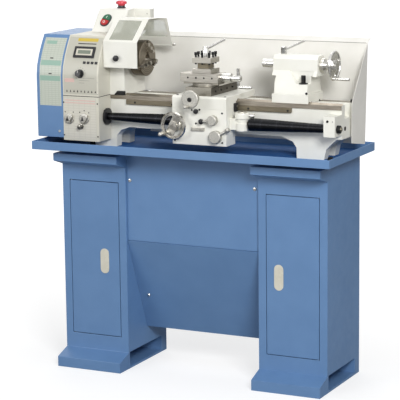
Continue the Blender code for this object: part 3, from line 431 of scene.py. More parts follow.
def softened_copy(node: str, edge: float, segments: int = 2, corner: float = CORNER) -> bpy.types.Object:
    """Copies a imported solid, merges its loose triangles to whole faces and rounds its edges.

    Args:
        node: the solid's name.
        edge: width of the rounding.
        segments: facets of the rounding.
        corner: the least angle, in degrees, that counts as an edge.

    Returns:
        The copy, named after the solid.
    """
    item = bpy.data.objects.new(node + "_finished", frame["nodes"][node].data.copy())
    bpy.context.scene.collection.objects.link(item)
    pick(item)
    bpy.ops.object.mode_set(mode="EDIT")
    bpy.ops.mesh.select_all(action="SELECT")
    bpy.ops.mesh.remove_doubles(threshold=0.00001)
    bpy.ops.mesh.dissolve_limited(angle_limit=math.radians(0.5))
    bpy.ops.object.mode_set(mode="OBJECT")
    return soften(item, edge, segments, corner)


def capsule(width: float, height: float, steps: int = 14) -> list[tuple[float, float]]:
    """Returns the outline of an upright capsule round the origin."""
    radius = width / 2
    rise = height / 2 - radius
    points = []
    for side, centre in ((0.0, rise), (math.pi, -rise)):
        for i in range(steps + 1):
            angle = side + math.pi * i / steps
            points.append((radius * math.cos(angle), centre + radius * math.sin(angle)))
    return points


# ---------------------------------------------------------------- finishes
def linear(colour: str) -> tuple[float, float, float, float]:
    """Turns an sRGB hex colour into the linear one that the shader takes."""
    values = [int(colour[i:i + 2], 16) / 255 for i in (1, 3, 5)]
    return (*[v / 12.92 if v <= 0.04045 else ((v + 0.055) / 1.055) ** 2.4 for v in values], 1.0)


def add_node(
    tree: bpy.types.NodeTree, kind: str, settings: dict | None = None, links: dict | None = None,
) -> bpy.types.Node:
    """Adds a node with its settings and links.

    Args:
        tree: the material's node tree.
        kind: Blender's type name of the node.
        settings: values for its inputs, by name or number, or for its properties.
        links: the sockets that feed its inputs, by name or number.

    Returns:
        The new node.
    """
    node = tree.nodes.new(kind)
    for key, value in (settings or {}).items():
        if isinstance(key, int) or key in node.inputs:
            node.inputs[key].default_value = value
        else:
            setattr(node, key, value)
    for key, socket in (links or {}).items():
        tree.links.new(socket, node.inputs[key])
    return node


def new_material(name: str, **inputs: object) -> tuple[
    bpy.types.Material, bpy.types.NodeTree, bpy.types.Node,
]:
    """Makes a material with a Principled shader.

    Args:
        name: the finish's name.
        inputs: the shader's own sockets, with underscores for spaces.

    Returns:
        The material, its node tree and its shader.
    """
    material = bpy.data.materials.new(name)
    material.use_nodes = True
    shader = material.node_tree.nodes["Principled BSDF"]
    for key, value in inputs.items():
        shader.inputs[key.replace("_", " ")].default_value = value
    return material, material.node_tree, shader


def grain(
    tree: bpy.types.NodeTree, size_mm: tuple[float, float, float], detail: float = 3.0,
) -> bpy.types.NodeSocket:
    """Adds a noise whose grains have a size along each axis, in millimetres.

    Args:
        tree: the material's node tree.
        size_mm: grain size along X, Y and Z.
        detail: how many finer layers it has.

    Returns:
        The noise's value socket.
    """
    spot = add_node(tree, "ShaderNodeTexCoord")
    scale = tuple(1000.0 / size for size in size_mm)
    stretch = add_node(tree, "ShaderNodeMapping", {"Scale": scale}, {"Vector": spot.outputs["Object"]})
    noise = add_node(
        tree, "ShaderNodeTexNoise", {"Scale": 1.0, "Detail": detail}, {"Vector": stretch.outputs["Vector"]},
    )
    return noise.outputs["Fac"]


def tint(tree: bpy.types.NodeTree, shader: bpy.types.Node, value: bpy.types.NodeSocket, dark: str, light: str,
         low: float = 0.35, high: float = 0.65) -> None:
    """Colours a shader between two tones by a pattern.

    Args:
        tree: the material's node tree.
        shader: its Principled shader.
        value: the pattern.
        dark: hex colour where the pattern is low.
        light: hex colour where it is high.
        low: the pattern's value at the dark end.
        high: the pattern's value at the light end.
    """
    ramp = add_node(tree, "ShaderNodeValToRGB", None, {"Fac": value})
    ends = ramp.color_ramp.elements
    ends[0].position, ends[1].position = low, high
    ends[0].color, ends[1].color = linear(dark), linear(light)
    tree.links.new(ramp.outputs["Color"], shader.inputs["Base Color"])


def vary_roughness(tree: bpy.types.NodeTree, shader: bpy.types.Node, value: bpy.types.NodeSocket,
                   low: float, high: float) -> None:
    """Lets a pattern move the roughness between two values."""
    spread = add_node(
        tree, "ShaderNodeMapRange", {
            "From Min": 0.3, "From Max": 0.7, "To Min": low, "To Max": high,
        }, {"Value": value}
    )
    tree.links.new(spread.outputs["Result"], shader.inputs["Roughness"])


def raise_surface(
    tree: bpy.types.NodeTree, shader: bpy.types.Node, value: bpy.types.NodeSocket, depth_mm: float,
) -> None:
    """Lets a pattern raise the surface by a depth in millimetres."""
    bump = add_node(tree, "ShaderNodeBump", {"Strength": 1.0, "Distance": depth_mm * MM}, {"Height": value})
    tree.links.new(bump.outputs["Normal"], shader.inputs["Normal"])


class Finish:
    """One real finish. Its material is made the first time it is used."""

    name: str

    def build(self) -> bpy.types.Material:
        """Makes the material."""
        raise NotImplementedError

    def material(self) -> bpy.types.Material:
        """Returns the one material of this finish."""
        return bpy.data.materials.get(self.name) or self.build()


@dataclass(frozen=True)
class Enamel(Finish):
    """Sprayed enamel or powder coat: an even colour, slightly cloudy, with fine orange peel."""

    name: str
    colour: str
    cloud: str
    roughness: float = 0.4
    peel_mm: float = 2.4
    peel_depth_mm: float = 0.05
    cloud_mm: float = 90.0
    coat: float = 0.06
    shine: float = 0.5

    def build(self) -> bpy.types.Material:
        """Makes the material."""
        material, tree, shader = new_material(
            self.name,
            Roughness=self.roughness,
            Specular_IOR_Level=self.shine,
            Coat_Weight=self.coat,
            Coat_Roughness=0.25,
        )
        tint(tree, shader, grain(tree, (self.cloud_mm,) * 3), self.cloud, self.colour)
        vary_roughness(
            tree, shader, grain(tree, (25.0, 25.0, 25.0)), self.roughness - 0.05, self.roughness + 0.06,
        )
        raise_surface(tree, shader, grain(tree, (self.peel_mm,) * 3, 1.0), self.peel_depth_mm)
        return material


@dataclass(frozen=True)
class Moulded(Finish):
    """Injection-moulded plastic or rubber with a faint spark-eroded grain."""

    name: str
    colour: str
    roughness: float = 0.4
    grain_mm: float = 0.8
    depth_mm: float = 0.02

    def build(self) -> bpy.types.Material:
        """Makes the material."""
        material, tree, shader = new_material(
            self.name, Roughness=self.roughness, Base_Color=linear(self.colour),
        )
        value = grain(tree, (self.grain_mm,) * 3, 2.0)
        vary_roughness(tree, shader, value, self.roughness - 0.06, self.roughness + 0.06)
        raise_surface(tree, shader, value, self.depth_mm)
        return material


@dataclass(frozen=True)
class GroundSteel(Finish):
    """Ground or milled steel under a film of oil: fine straight marks with patches of dull oil."""

    name: str
    dark: str
    light: str
    roughness: float
    mark_mm: tuple[float, float, float]
    depth_mm: float = 0.006

    def build(self) -> bpy.types.Material:
        """Makes the material."""
        material, tree, shader = new_material(self.name, Metallic=1.0)
        marks = grain(tree, self.mark_mm, 4.0)
        tint(tree, shader, marks, self.dark, self.light, 0.3, 0.7)
        vary_roughness(
            tree, shader, grain(tree, (18.0, 18.0, 18.0)), self.roughness - 0.07, self.roughness + 0.1,
        )
        raise_surface(tree, shader, marks, self.depth_mm)
        return material


@dataclass(frozen=True)
class TurnedSteel(Finish):
    """Steel faced on a lathe: fine rings round an axis along X, which catch the light in a fan."""

    name: str
    dark: str
    light: str
    roughness: float
    centre: tuple[float, float, float]
    ring_mm: float = 1.1
    depth_mm: float = 0.01

    def build(self) -> bpy.types.Material:
        """Makes the material."""
        material, tree, shader = new_material(self.name, Metallic=1.0)
        spot = add_node(tree, "ShaderNodeTexCoord")
        shift = add_node(
            tree, "ShaderNodeMapping", {"Location": tuple(-value for value in self.centre)}, {
                "Vector": spot.outputs["Object"]
            }
        )
        rings = add_node(
            tree,
            "ShaderNodeTexWave",
            {
                "wave_type": "RINGS",
                "rings_direction": "X",
                "Scale": 1000.0 / self.ring_mm / 20.0,
                "Distortion": 1.5,
                "Detail": 2.0,
                "Detail Scale": 4.0,
            },
            {"Vector": shift.outputs["Vector"]},
        )
        tint(tree, shader, rings.outputs["Fac"], self.dark, self.light, 0.0, 1.0)
        vary_roughness(
            tree, shader, grain(tree, (12.0, 12.0, 12.0)), self.roughness - 0.05, self.roughness + 0.08,
        )
        raise_surface(tree, shader, rings.outputs["Fac"], self.depth_mm)
        return material


@dataclass(frozen=True)
class SpringStrip(Finish):
    """Blued spring steel wound to a cover: black, oily, with a slightly lighter line at each turn's edge
    painted as its highlight.
    """

    name: str = "blued_spring_strip"
    colour: str = "#16171a"
    # The edge colour is the painted highlight along each turn's edge.
    edge: str = "#26272b"
    turn_mm: float = 9.0

    def build(self) -> bpy.types.Material:
        """Makes the material."""
        material, tree, shader = new_material(self.name, Metallic=0.75)
        spot = add_node(tree, "ShaderNodeTexCoord")
        bands = add_node(
            tree,
            "ShaderNodeTexWave",
            {
                "wave_type": "BANDS", "bands_direction": "X", "wave_profile": "SAW",
                "Scale": 1000.0 / self.turn_mm / 20.0,
            },
            {"Vector": spot.outputs["Object"]},
        )
        # The lighter tone at the end of each band is a painted highlight on the turn's edge.
        tint(tree, shader, bands.outputs["Fac"], self.colour, self.edge, 0.86, 1.0)
        vary_roughness(tree, shader, grain(tree, (4.0, 1.0, 1.0)), 0.22, 0.34)
        raise_surface(tree, shader, bands.outputs["Fac"], 0.05)
        return material


@dataclass(frozen=True)
class TintedGuard(Finish):
    """Polycarbonate sheet, scratched by chips and slightly smoky, so it is neither clear nor bright."""

    name: str = "smoked_polycarbonate"
    colour: str = "#c3c6b8"
    alpha: float = 0.42

    def build(self) -> bpy.types.Material:
        """Makes the material."""
        material, tree, shader = new_material(
            self.name, Base_Color=linear(self.colour), Roughness=0.22, IOR=1.58, Alpha=self.alpha
        )
        scratches = grain(tree, (1.2, 14.0, 1.2), 4.0)
        vary_roughness(tree, shader, scratches, 0.16, 0.34)
        raise_surface(tree, shader, scratches, 0.01)
        return material


@dataclass(frozen=True)
class PrintedFilm(Finish):
    """A printed polyester film: a plain ground with faint ruled cells where a table is printed."""

    name: str
    ground: str
    line: str
    cell_mm: tuple[float, float]
    line_share: float = 0.12
    roughness: float = 0.38

    def build(self) -> bpy.types.Material:
        """Makes the material."""
        material, tree, shader = new_material(self.name, Coat_Weight=0.2, Coat_Roughness=0.2)
        spot = add_node(tree, "ShaderNodeTexCoord")
        turn = add_node(
            tree, "ShaderNodeMapping", {"Rotation": (math.radians(90.0), 0.0, 0.0)}, {
                "Vector": spot.outputs["Object"]
            }
        )
        cells = add_node(
            tree,
            "ShaderNodeTexBrick",
            {
                "Scale": 1.0,
                "Brick Width": self.cell_mm[0] * MM,
                "Row Height": self.cell_mm[1] * MM,
                "Mortar Size": self.cell_mm[1] * MM * self.line_share,
                "offset": 0.0,
                "Color1": linear(self.ground),
                "Color2": linear(self.ground),
                "Mortar": linear(self.line),
            },
            {"Vector": turn.outputs["Vector"]},
        )
        tree.links.new(cells.outputs["Color"], shader.inputs["Base Color"])
        vary_roughness(
            tree, shader, grain(tree, (30.0, 30.0, 30.0)), self.roughness - 0.05, self.roughness + 0.05,
        )
        return material


BLUE = Enamel("blue_powder_coat", "#6488b4", "#6084b0", 0.42)
WHITE = Enamel("white_machine_enamel", "#efeee6", "#e9e8de", 0.36, peel_mm=3.5, peel_depth_mm=0.06)
SHEET_WHITE = Enamel("white_sheet_enamel", "#eceae4", "#e6e4dd", 0.34, peel_mm=2.0, peel_depth_mm=0.03)
IVORY = Enamel("ivory_panel_enamel", "#d5d2c4", "#cfccbe", 0.4, peel_mm=2.0, peel_depth_mm=0.02)
MOTOR_PAINT = Enamel("grey_motor_enamel", "#5c5f62", "#55585b", 0.5)
BLACK = Moulded("black_moulded_plastic", "#17171a", 0.36)
RUBBER = Moulded("black_belt_rubber", "#1a1a1b", 0.75, 1.2, 0.05)
RED = Moulded("red_moulded_plastic", "#d23a4a", 0.32)
BUTTON_RED = Moulded("dark_red_moulded_plastic", "#b5292c", 0.32)
GREEN = Moulded("green_moulded_plastic", "#2d6a4c", 0.32)
MARKING = Moulded("black_print", "#2b2a28", 0.5)
WHITE_PRINT = Moulded("white_print", "#f2f0ea", 0.5)
YELLOW_PRINT = Moulded("ochre_print", "#cbb24c", 0.45)
GREEN_PRINT = Moulded("pale_green_print", "#94b3a4", 0.45)
PINK_PRINT = Moulded("pale_pink_print", "#d8b9b0", 0.45)
SCREEN = Moulded("liquid_crystal_screen", "#7d8678", 0.15)
WAY_STEEL = GroundSteel("ground_way_steel", "#857c70", "#aba498", 0.36, (60.0, 1.2, 1.2))
SLIDE_STEEL = GroundSteel("milled_slide_steel", "#827e75", "#aeaaa0", 0.42, (1.2, 40.0, 1.2))
TOP_STEEL = GroundSteel("milled_top_slide_steel", "#96928a", "#c0bcb3", 0.4, (40.0, 1.2, 1.2))
# Oiled rack steel; also the tool post's middle band, darker partly for its own steel and partly as painted
# shade between the plates.
RACK_AND_SHADED_CORE_STEEL = GroundSteel("oiled_rack_steel_and_painted_shade", "#6b6454", "#857d6c", 0.42, (40.0, 1.5, 1.5))
DARK_STEEL = GroundSteel("black_oxide_steel", "#2a2a2b", "#3a3a3a", 0.42, (1.5, 1.5, 1.5))
BRIGHT = GroundSteel("polished_plated_steel", "#c9c8c4", "#e2e1dd", 0.2, (6.0, 6.0, 6.0), 0.002)
DIAL_STEEL = GroundSteel("satin_dial_steel", "#b4b1a8", "#cfccc4", 0.3, (3.0, 3.0, 3.0), 0.004)
CHUCK_RIM = TurnedSteel(
    "turned_chuck_rim", "#675f52", "#857d6f", 0.4, (-0.248, SPINDLE_Y, SPINDLE_Z),
)
CHUCK_FACE = TurnedSteel(
    "faced_chuck_steel", "#716a5e", "#8f8779", 0.42, (-0.206, SPINDLE_Y, SPINDLE_Z),
)
LEAD_STEEL = GroundSteel("oiled_screw_steel", "#6f6a60", "#98927f", 0.32, (1.5, 6.0, 6.0))
WHEEL_STEEL = GroundSteel("worn_chrome_plate", "#b3afa6", "#d6d3cb", 0.24, (6.0, 6.0, 6.0), 0.002)
DARK_CHROME = GroundSteel("dark_chrome_plate", "#6f6d68", "#8c8a84", 0.22, (6.0, 6.0, 6.0), 0.002)
# Darker blue for the tray floor: painted shade, for the floor lying in the machine's shadow.
TRAY_FLOOR_SHADE = Enamel("tray_floor_painted_shade", "#33639f", "#2d5b96", 0.7, coat=0.0, shine=0.12)
PULL = Enamel("zinc_pull_lacquer", "#dcd8ca", "#d0ccbc", 0.26, peel_mm=1.5, peel_depth_mm=0.02)
# Darker tone for the sunk bowl of the door pulls: painted shade in the recess.
PULL_BOWL_SHADE = Enamel("zinc_pull_bowl_painted_shade", "#a9a595", "#9d9989", 0.3, peel_mm=1.5, peel_depth_mm=0.02)
BEZEL = Moulded("ivory_bezel_plastic", "#cfcabb", 0.4)
# Grey for printed lines; also the painted shadow line under the splash guard's top fold.
GREY_PRINT_AND_SHADOW = Moulded("grey_print_and_painted_shadow", "#8d8b84", 0.5)
SWITCH_PLATE = Moulded("grey_switch_plastic", "#3b3d40", 0.4)
CHART = PrintedFilm("printed_chart_film", "#c0c6ba", "#b1b8ab", (14.0, 7.0))
PANEL_FILM = PrintedFilm("printed_panel_film", "#bdbbae", "#bdbbae", (40.0, 40.0))
GEAR_FILM = PrintedFilm("printed_gear_film", "#d2cfc3", "#c9c6ba", (22.0, 9.0))
FLANK_STEEL = GroundSteel("oiled_flank_steel", "#4f4b43", "#77726a", 0.3, (1.2, 40.0, 1.2))
JAW_STEEL = GroundSteel("hardened_jaw_steel", "#98938a", "#c0bbb1", 0.28, (3.0, 3.0, 3.0), 0.003)
MATT_CHROME = GroundSteel("matt_chrome_plate", "#a8a69f", "#c4c2bb", 0.46, (4.0, 4.0, 4.0), 0.004)
SPRING = SpringStrip()
GLASS = TintedGuard()


class Slot(Enum):
    """The record's material slots."""

    BLUE = "painted_steel_blue"
    WHITE = "painted_casting_white"
    IVORY = "painted_panel_ivory"
    STEEL = "ground_steel"
    BRIGHT = "polished_steel"
    BLACK = "black_plastic"
    SPRING = "blued_spring_steel"
    RUBBER = "belt_rubber"
    RED = "red_plastic"
    GREEN = "green_plastic"
    MOTOR = "motor_grey_paint"


def dress(item: bpy.types.Object, finish: Finish) -> bpy.types.Object:
    """Gives a whole piece one finish."""
    item.data.materials.clear()
    item.data.materials.append(finish.material())
    for face in item.data.polygons:
        face.material_index = 0
    return item


def fix(
    item: bpy.types.Object, finish: Finish | None, body: str, slot: Slot, *nodes: str,
) -> bpy.types.Object:
    """Dresses a finished piece, fixes it to its body and hides the solids it stands for.

    Args:
        item: the piece.
        finish: its finish, or None where it is dressed already.
        body: the body it moves with.
        slot: the record's slot; not used.
        nodes: the solids it replaces.

    Returns:
        The same object.
    """
    if finish is not None:
        dress(item, finish)
    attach(item, body)
    if nodes:
        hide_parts(*nodes)
    log.info("%s rides on %s", item.name, body)
    return item


def two_tone(
    item: bpy.types.Object, main_finish: Finish, other: Finish, where: Callable[
        [bpy.types.MeshPolygon], bool,
    ]
) -> bpy.types.Object:
    """Dresses a piece in one finish and some of its faces in another.

    Args:
        item: the piece.
        main_finish: the finish of most faces.
        other: the finish of the chosen faces.
        where: says whether a face is chosen.

    Returns:
        The same object.
    """
    dress(item, main_finish).data.materials.append(other.material())
    for face in item.data.polygons:
        if where(face):
            face.material_index = 1
    return item


def stand_in(
    node: str, finish: Finish, body: str, slot: Slot, edge: float, segments: int = 2, corner: float = CORNER
) -> bpy.types.Object:
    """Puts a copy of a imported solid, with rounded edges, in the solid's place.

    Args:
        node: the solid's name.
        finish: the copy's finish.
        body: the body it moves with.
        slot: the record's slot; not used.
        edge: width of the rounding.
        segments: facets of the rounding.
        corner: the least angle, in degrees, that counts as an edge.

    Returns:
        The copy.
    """
    return fix(softened_copy(node, edge, segments, corner), finish, body, slot, node)


# ---------------------------------------------------------------- fasteners
class Head(Enum):
    """Kinds of screw head."""

    SOCKET = "socket"
    HEXAGON = "hexagon"
    DOME = "dome"


def screw_head(
    name: str, at: Vector, along: Vector, radius: float, height: float, kind: Head,
) -> bpy.types.Object:
    """Makes one screw head standing on a face.

    Args:
        name: the piece's name.
        at: the middle of its seat.
        along: the way it stands out.
        radius: half its width.
        height: how far it stands out.
        kind: its kind.

    Returns:
        The mesh object, not dressed.
    """
    if kind is Head.DOME:
        profile = [
            (-0.0008, radius), (height * 0.35, radius), (height * 0.75, radius * 0.8),
            (height, radius * 0.4),
        ]
        return turned_part(name, profile, at, along, 28)
    if kind is Head.HEXAGON:
        item = turned_part(
            name,
            [(-0.0008, radius), (height * 0.85, radius), (height, radius * 0.88)],
            at,
            along,
            6,
        )
        washer = turned_part(
            name + "_washer", [(-0.001, radius * 1.35), (height * 0.25, radius * 1.35)], at, along, 28,
            0.0002,
        )
        return joined(name, [item, washer])
    profile = [
        (-0.0008, radius),
        (height * 0.9, radius),
        (height, radius * 0.92),
        (height, radius * 0.52),
        (height * 0.35, radius * 0.5),
    ]
    return turned_part(name, profile, at, along, 24)


def screws(
    name: str, spots: list[Vector], along: Vector, radius: float, height: float, kind: Head,
    finish: Finish, body: str, slot: Slot = Slot.STEEL,
) -> bpy.types.Object:
    """Makes one piece of several like screws and fixes it.

    Args:
        name: the piece's name.
        spots: the middle of each seat.
        along: the way they stand out.
        radius: half the width of a head.
        height: how far a head stands out.
        kind: the kind of head.
        finish: their finish.
        body: the body they move with.
        slot: the record's slot; not used.

    Returns:
        The one object.
    """
    heads = [screw_head(f"{name}_{i}", spot, along, radius, height, kind) for i, spot in enumerate(spots)]
    return fix(joined(name, heads), finish, body, slot)


# ---------------------------------------------------------------- stand
@dataclass
class CabinetStand:
    """Two folded-sheet cabinets with doors, the panels between them and the chip tray."""

    fold: float = 0.0016
    tray_fold: float = 0.0011
    pull_width: float = 0.034
    pull_height: float = 0.090
    pull_bowl: float = 0.0062
    pull_z: float = 0.387
    bolt_radius: float = 0.0068
    bolt_height: float = 0.0045
    low_bolt_y: float = 0.0105
    low_bolt_z: float = 0.254
    low_panel_out: tuple[float, float, float] = (0.0, -0.925, -0.379)

    def build(self) -> None:
        """Makes every piece of the stand."""
        for side in ("left", "right"):
            stand_in(f"pedestal_{side}", BLUE, "frame", Slot.BLUE, self.fold)
            door = f"door_{side}"
            stand_in(door, BLUE, door, Slot.BLUE, 0.0007)
            self.door_pull(side)
            self.hinge_pins(side)
        for panel in ("panel_upper", "panel_lower"):
            stand_in(panel, BLUE, "frame", Slot.BLUE, 0.0003)
        rim = extent("chip_tray").z1 - 0.006
        tray = softened_copy("chip_tray", self.tray_fold)
        # Floor faces below the rim take the darker blue, painted as the shade under the machine.
        two_tone(tray, BLUE, TRAY_FLOOR_SHADE, lambda face: face.normal.z > 0.7 and face.center.z < rim)
        fix(tray, None, "frame", Slot.BLUE, "chip_tray")
        self.tray_flange()
        self.panel_joint()
        self.panel_bolts()

    def door_pull(self, side: str) -> None:
        """A die-cast flush pull: a capsule flange with a bowl for the fingers; the bowl is dressed darker as
        painted shade.
        """
        door = extent(f"door_{side}")
        x = door.x1 - 0.058 if side == "left" else door.x0 + 0.045
        z = self.pull_z
        outline = [(x + a, z + b) for a, b in capsule(self.pull_width, self.pull_height)]
        pull = drawn_plate(f"door_pull_{side}", outline, Flat.XZ, door.y0 + 0.0005, door.y0 - 0.0022)
        pick(pull)
        for face in pull.data.polygons:
            face.select = face.normal.y < -0.9
        bpy.ops.object.mode_set(mode="EDIT")
        bpy.ops.mesh.inset(thickness=0.0035)
        bpy.ops.mesh.extrude_region_move(TRANSFORM_OT_translate={"value": (0.0, self.pull_bowl, 0.0)})
        bpy.ops.transform.resize(value=(0.78, 1.0, 0.9), center_override=(x, door.y0, z))
        bpy.ops.object.mode_set(mode="OBJECT")
        soften(pull, 0.0009, 3)
        # The bowl's faces take the darker tone, painted as the shade in the recess.
        two_tone(pull, PULL, PULL_BOWL_SHADE, lambda face: face.center.y > door.y0 + 0.001)
        fix(pull, None, f"door_{side}", Slot.BRIGHT)

    def hinge_pins(self, side: str) -> None:
        """Two small pivot pins that show in the gap over and under the door."""
        door = extent(f"door_{side}")
        pivot = joint_place(f"door_{side}_swing")
        pins = []
        for number, (z, way) in enumerate(((door.z0 - 0.0004, -1.0), (door.z1 + 0.0004, 1.0))):
            at = Vector((pivot.x, pivot.y + 0.001, z - 0.002 * way))
            pins.append(
                turned_part(
                    f"door_pin_{side}_{number}", [(0.0, 0.0022), (0.0034, 0.0022)], at, Vector((0, 0, way)),
                    16,
                )
            )
        fix(joined(f"door_pins_{side}", pins), BRIGHT, f"door_{side}", Slot.BRIGHT)

    def tray_flange(self) -> None:
        """The rim's turned-down edge: a rolled bead all round the top of the tray's lip."""
        tray = extent("chip_tray")
        reach = 0.0017
        z = tray.z1 - 0.0017
        corners = [
            Vector((tray.x0 + reach, tray.y0 + reach, z)),
            Vector((tray.x1 - reach, tray.y0 + reach, z)),
            Vector((tray.x1 - reach, tray.y1 - reach, z)),
            Vector((tray.x0 + reach, tray.y1 - reach, z)),
        ]
        bead = bent_bar("tray_rolled_rim", corners, 0.0015, closed=True, sides=3)
        fix(bead, BLUE, "frame", Slot.BLUE)

    def panel_joint(self) -> None:
        """The flange behind the gap between the two panels."""
        upper = extent("panel_upper")
        low = (upper.x0 + 0.001, upper.y1 + 0.0004, upper.z0 - 0.005)
        strip = slab(
            "panel_joint_flange", low, (upper.x1 - 0.001, upper.y1 + 0.0020, upper.z0 + 0.008), 0.0,
        )
        fix(strip, BLUE, "frame", Slot.BLUE)

    def panel_bolts(self) -> None:
        """Plated bolts that hold the panels to the cabinets."""
        upper, lower = extent("panel_upper"), extent("panel_lower")
        spots = [Vector((upper.x0 + 0.012, upper.y0, 0.682)), Vector((upper.x1 - 0.016, upper.y0, 0.684))]
        size = (self.bolt_radius, self.bolt_height, Head.DOME)
        screws("upper_panel_bolts", spots, FRONT, *size, BRIGHT, "frame", Slot.BRIGHT)
        low = [Vector((x, self.low_bolt_y, self.low_bolt_z)) for x in (lower.x0 + 0.035, lower.x1 - 0.035)]
        screws("lower_panel_bolts", low, Vector(self.low_panel_out), *size, BRIGHT, "frame", Slot.BRIGHT)


# ---------------------------------------------------------------- bed
@dataclass
class Bed:
    """The cast bed with its ground ways, rack and right-hand screw bracket."""

    way_depth: float = 0.0145
    rack_pitch: float = 0.00314
    tooth_depth: float = 0.0021

    def build(self) -> None:
        """Makes every piece of the bed."""
        self.casting()
        self.rack()
        self.bracket()
        self.fixings()

    def casting(self) -> None:
        """White casting whose ways are bare ground steel."""
        bed = extent("bed")
        top = bed.z1 - WAY_DROP

        def ground(face: bpy.types.MeshPolygon) -> bool:
            """Says whether a face is one of the ground ones."""
            on_way = face.center.z > top - self.way_depth and abs(face.normal.x) < 0.5
            return on_way and not (face.normal.y > 0.7 and face.center.z < top - 0.001)

        fix(
            two_tone(softened_copy("bed", 0.0012), WHITE, WAY_STEEL, ground), None, "frame", Slot.WHITE,
            "bed",
        )

    def rack(self) -> None:
        """A steel rack under the front way, its teeth cut in the lower edge."""
        rack = extent("rack")
        outline = [(rack.x1, rack.z1), (rack.x0, rack.z1)]
        teeth = int((rack.x1 - rack.x0) / self.rack_pitch)
        quarter = self.rack_pitch / 4
        for i in range(teeth):
            x = rack.x0 + i * self.rack_pitch
            low, high = rack.z0, rack.z0 + self.tooth_depth
            outline += [
                (x, high), (x + quarter * 0.8, low), (x + quarter * 2, low), (x + quarter * 2.8, high),
            ]
        outline.append((rack.x1, rack.z0 + self.tooth_depth))
        item = drawn_plate("rack_toothed", outline, Flat.XZ, rack.y0, rack.y1)
        fix(item, RACK_AND_SHADED_CORE_STEEL, "frame", Slot.STEEL, "rack")
        spots = [Vector((x, rack.y0, rack.z - 0.0005)) for x in (-0.220, -0.075, 0.070, 0.2124, 0.357)]
        screws("rack_screws", spots, FRONT, 0.0034, 0.0016, Head.SOCKET, DARK_STEEL, "frame")

    def bracket(self) -> None:
        """The bearing bracket of the leadscrew, with its screw and its pin."""
        bracket = extent("leadscrew_bracket")
        item = softened_copy("leadscrew_bracket", 0.003, 3)
        fix(item, WHITE, "frame", Slot.WHITE, "leadscrew_bracket")
        spots = [Vector((bracket.x - 0.006, bracket.y0, bracket.z1 - 0.016))]
        screws("bracket_screw", spots, FRONT, 0.0042, 0.0016, Head.SOCKET, DARK_STEEL, "frame")
        spots = [Vector((bracket.x1 - 0.008, bracket.y0, bracket.z1 - 0.016))]
        screws("bracket_pin", spots, FRONT, 0.0024, 0.0008, Head.DOME, DIAL_STEEL, "frame")

    def fixings(self) -> None:
        """Holding-down nuts beside the feet, and the stop plate and plugs at the bed's right end."""
        bed = extent("bed")
        tray = extent("chip_tray")
        floor = tray.z0 + 0.002
        spots = [Vector((x, bed.y0 + 0.015, floor)) for x in (-0.402, 0.503)]
        screws("foot_nuts", spots, UP, 0.009, 0.009, Head.HEXAGON, DARK_STEEL, "frame")
        stop = slab(
            "bed_end_stop", Vector((bed.x1 - 0.010, bed.y1 - 0.032, bed.z1 - 0.0072)),
            Vector((bed.x1 + 0.001, bed.y1 - 0.004, bed.z1 + 0.003)), 0.001,
        )
        fix(stop, DARK_STEEL, "frame", Slot.STEEL)
        plugs = [Vector((bed.x1, y, bed.z1 - 0.085)) for y in (bed.y0 + 0.030, bed.y1 - 0.030)]
        screws("bed_end_plugs", plugs, RIGHT, 0.007, 0.0015, Head.SOCKET, DARK_STEEL, "frame")


# ---------------------------------------------------------------- headstock end
@dataclass
class LeaningFront:
    """The front outline that the control housing and the end cover share: upright, then leaning back."""

    y0: float
    top: float
    steps: tuple[tuple[float, float], ...] = (
        (0.000, -0.138), (0.005, -0.104), (0.020, -0.067), (0.038, -0.034), (0.060, 0.000),
    )

    def depth(self, z: float) -> float:
        """Returns the front's Y at a height."""
        points = [(self.y0 + y, self.top + rise) for y, rise in self.steps]
        if z <= points[0][1]:
            return self.y0
        for (ya, za), (yb, zb) in zip(points, points[1:]):
            if z <= zb:
                return ya + (yb - ya) * (z - za) / (zb - za)
        return points[-1][0]

    def outward(self, z: float) -> Vector:
        """Returns the way the front faces at a height."""
        rise = 0.004
        back = self.depth(z + rise) - self.depth(z - rise)
        return Vector((0.0, -2 * rise, back)).normalized()

    def matrix(self, x: float, z: float) -> Matrix:
        """Returns the matrix that lays a flat piece on the front at a place and height."""
        return lying(Vector((x, self.depth(z), z)), self.outward(z))

    def film(self, name: str, x0: float, x1: float, z0: float, z1: float, thick: float) -> bpy.types.Object:
        """Makes a film that follows the front between two heights."""
        bends = sorted({z0, z1, *[self.top + rise for _, rise in self.steps if z0 < self.top + rise < z1]})
        front = [(self.depth(z) - thick, z) for z in bends]
        back = [(self.depth(z) + 0.0004, z) for z in reversed(bends)]
        return drawn_plate(name, front + back, Flat.YZ, x0, x1)

    def flat_slab(
        self, name: str, x: float, z: float, size: tuple[float, float], thick: float, edge: float
    ) -> bpy.types.Object:
        """Makes a rounded slab lying on the front."""
        item = slab(
            name, Vector((-size[0] / 2, -size[1] / 2, -0.001)), Vector((size[0] / 2, size[1] / 2, thick)),
            edge,
        )
        return place(item, self.matrix(x, z))

    def flat_outline(
        self, name: str, x: float, z: float, outline: list[tuple[float, float]], thick: float
    ) -> bpy.types.Object:
        """Makes a thin drawn shape lying on the front."""
        return place(drawn_plate(name, outline, Flat.XY, -0.0003, thick), self.matrix(x, z))


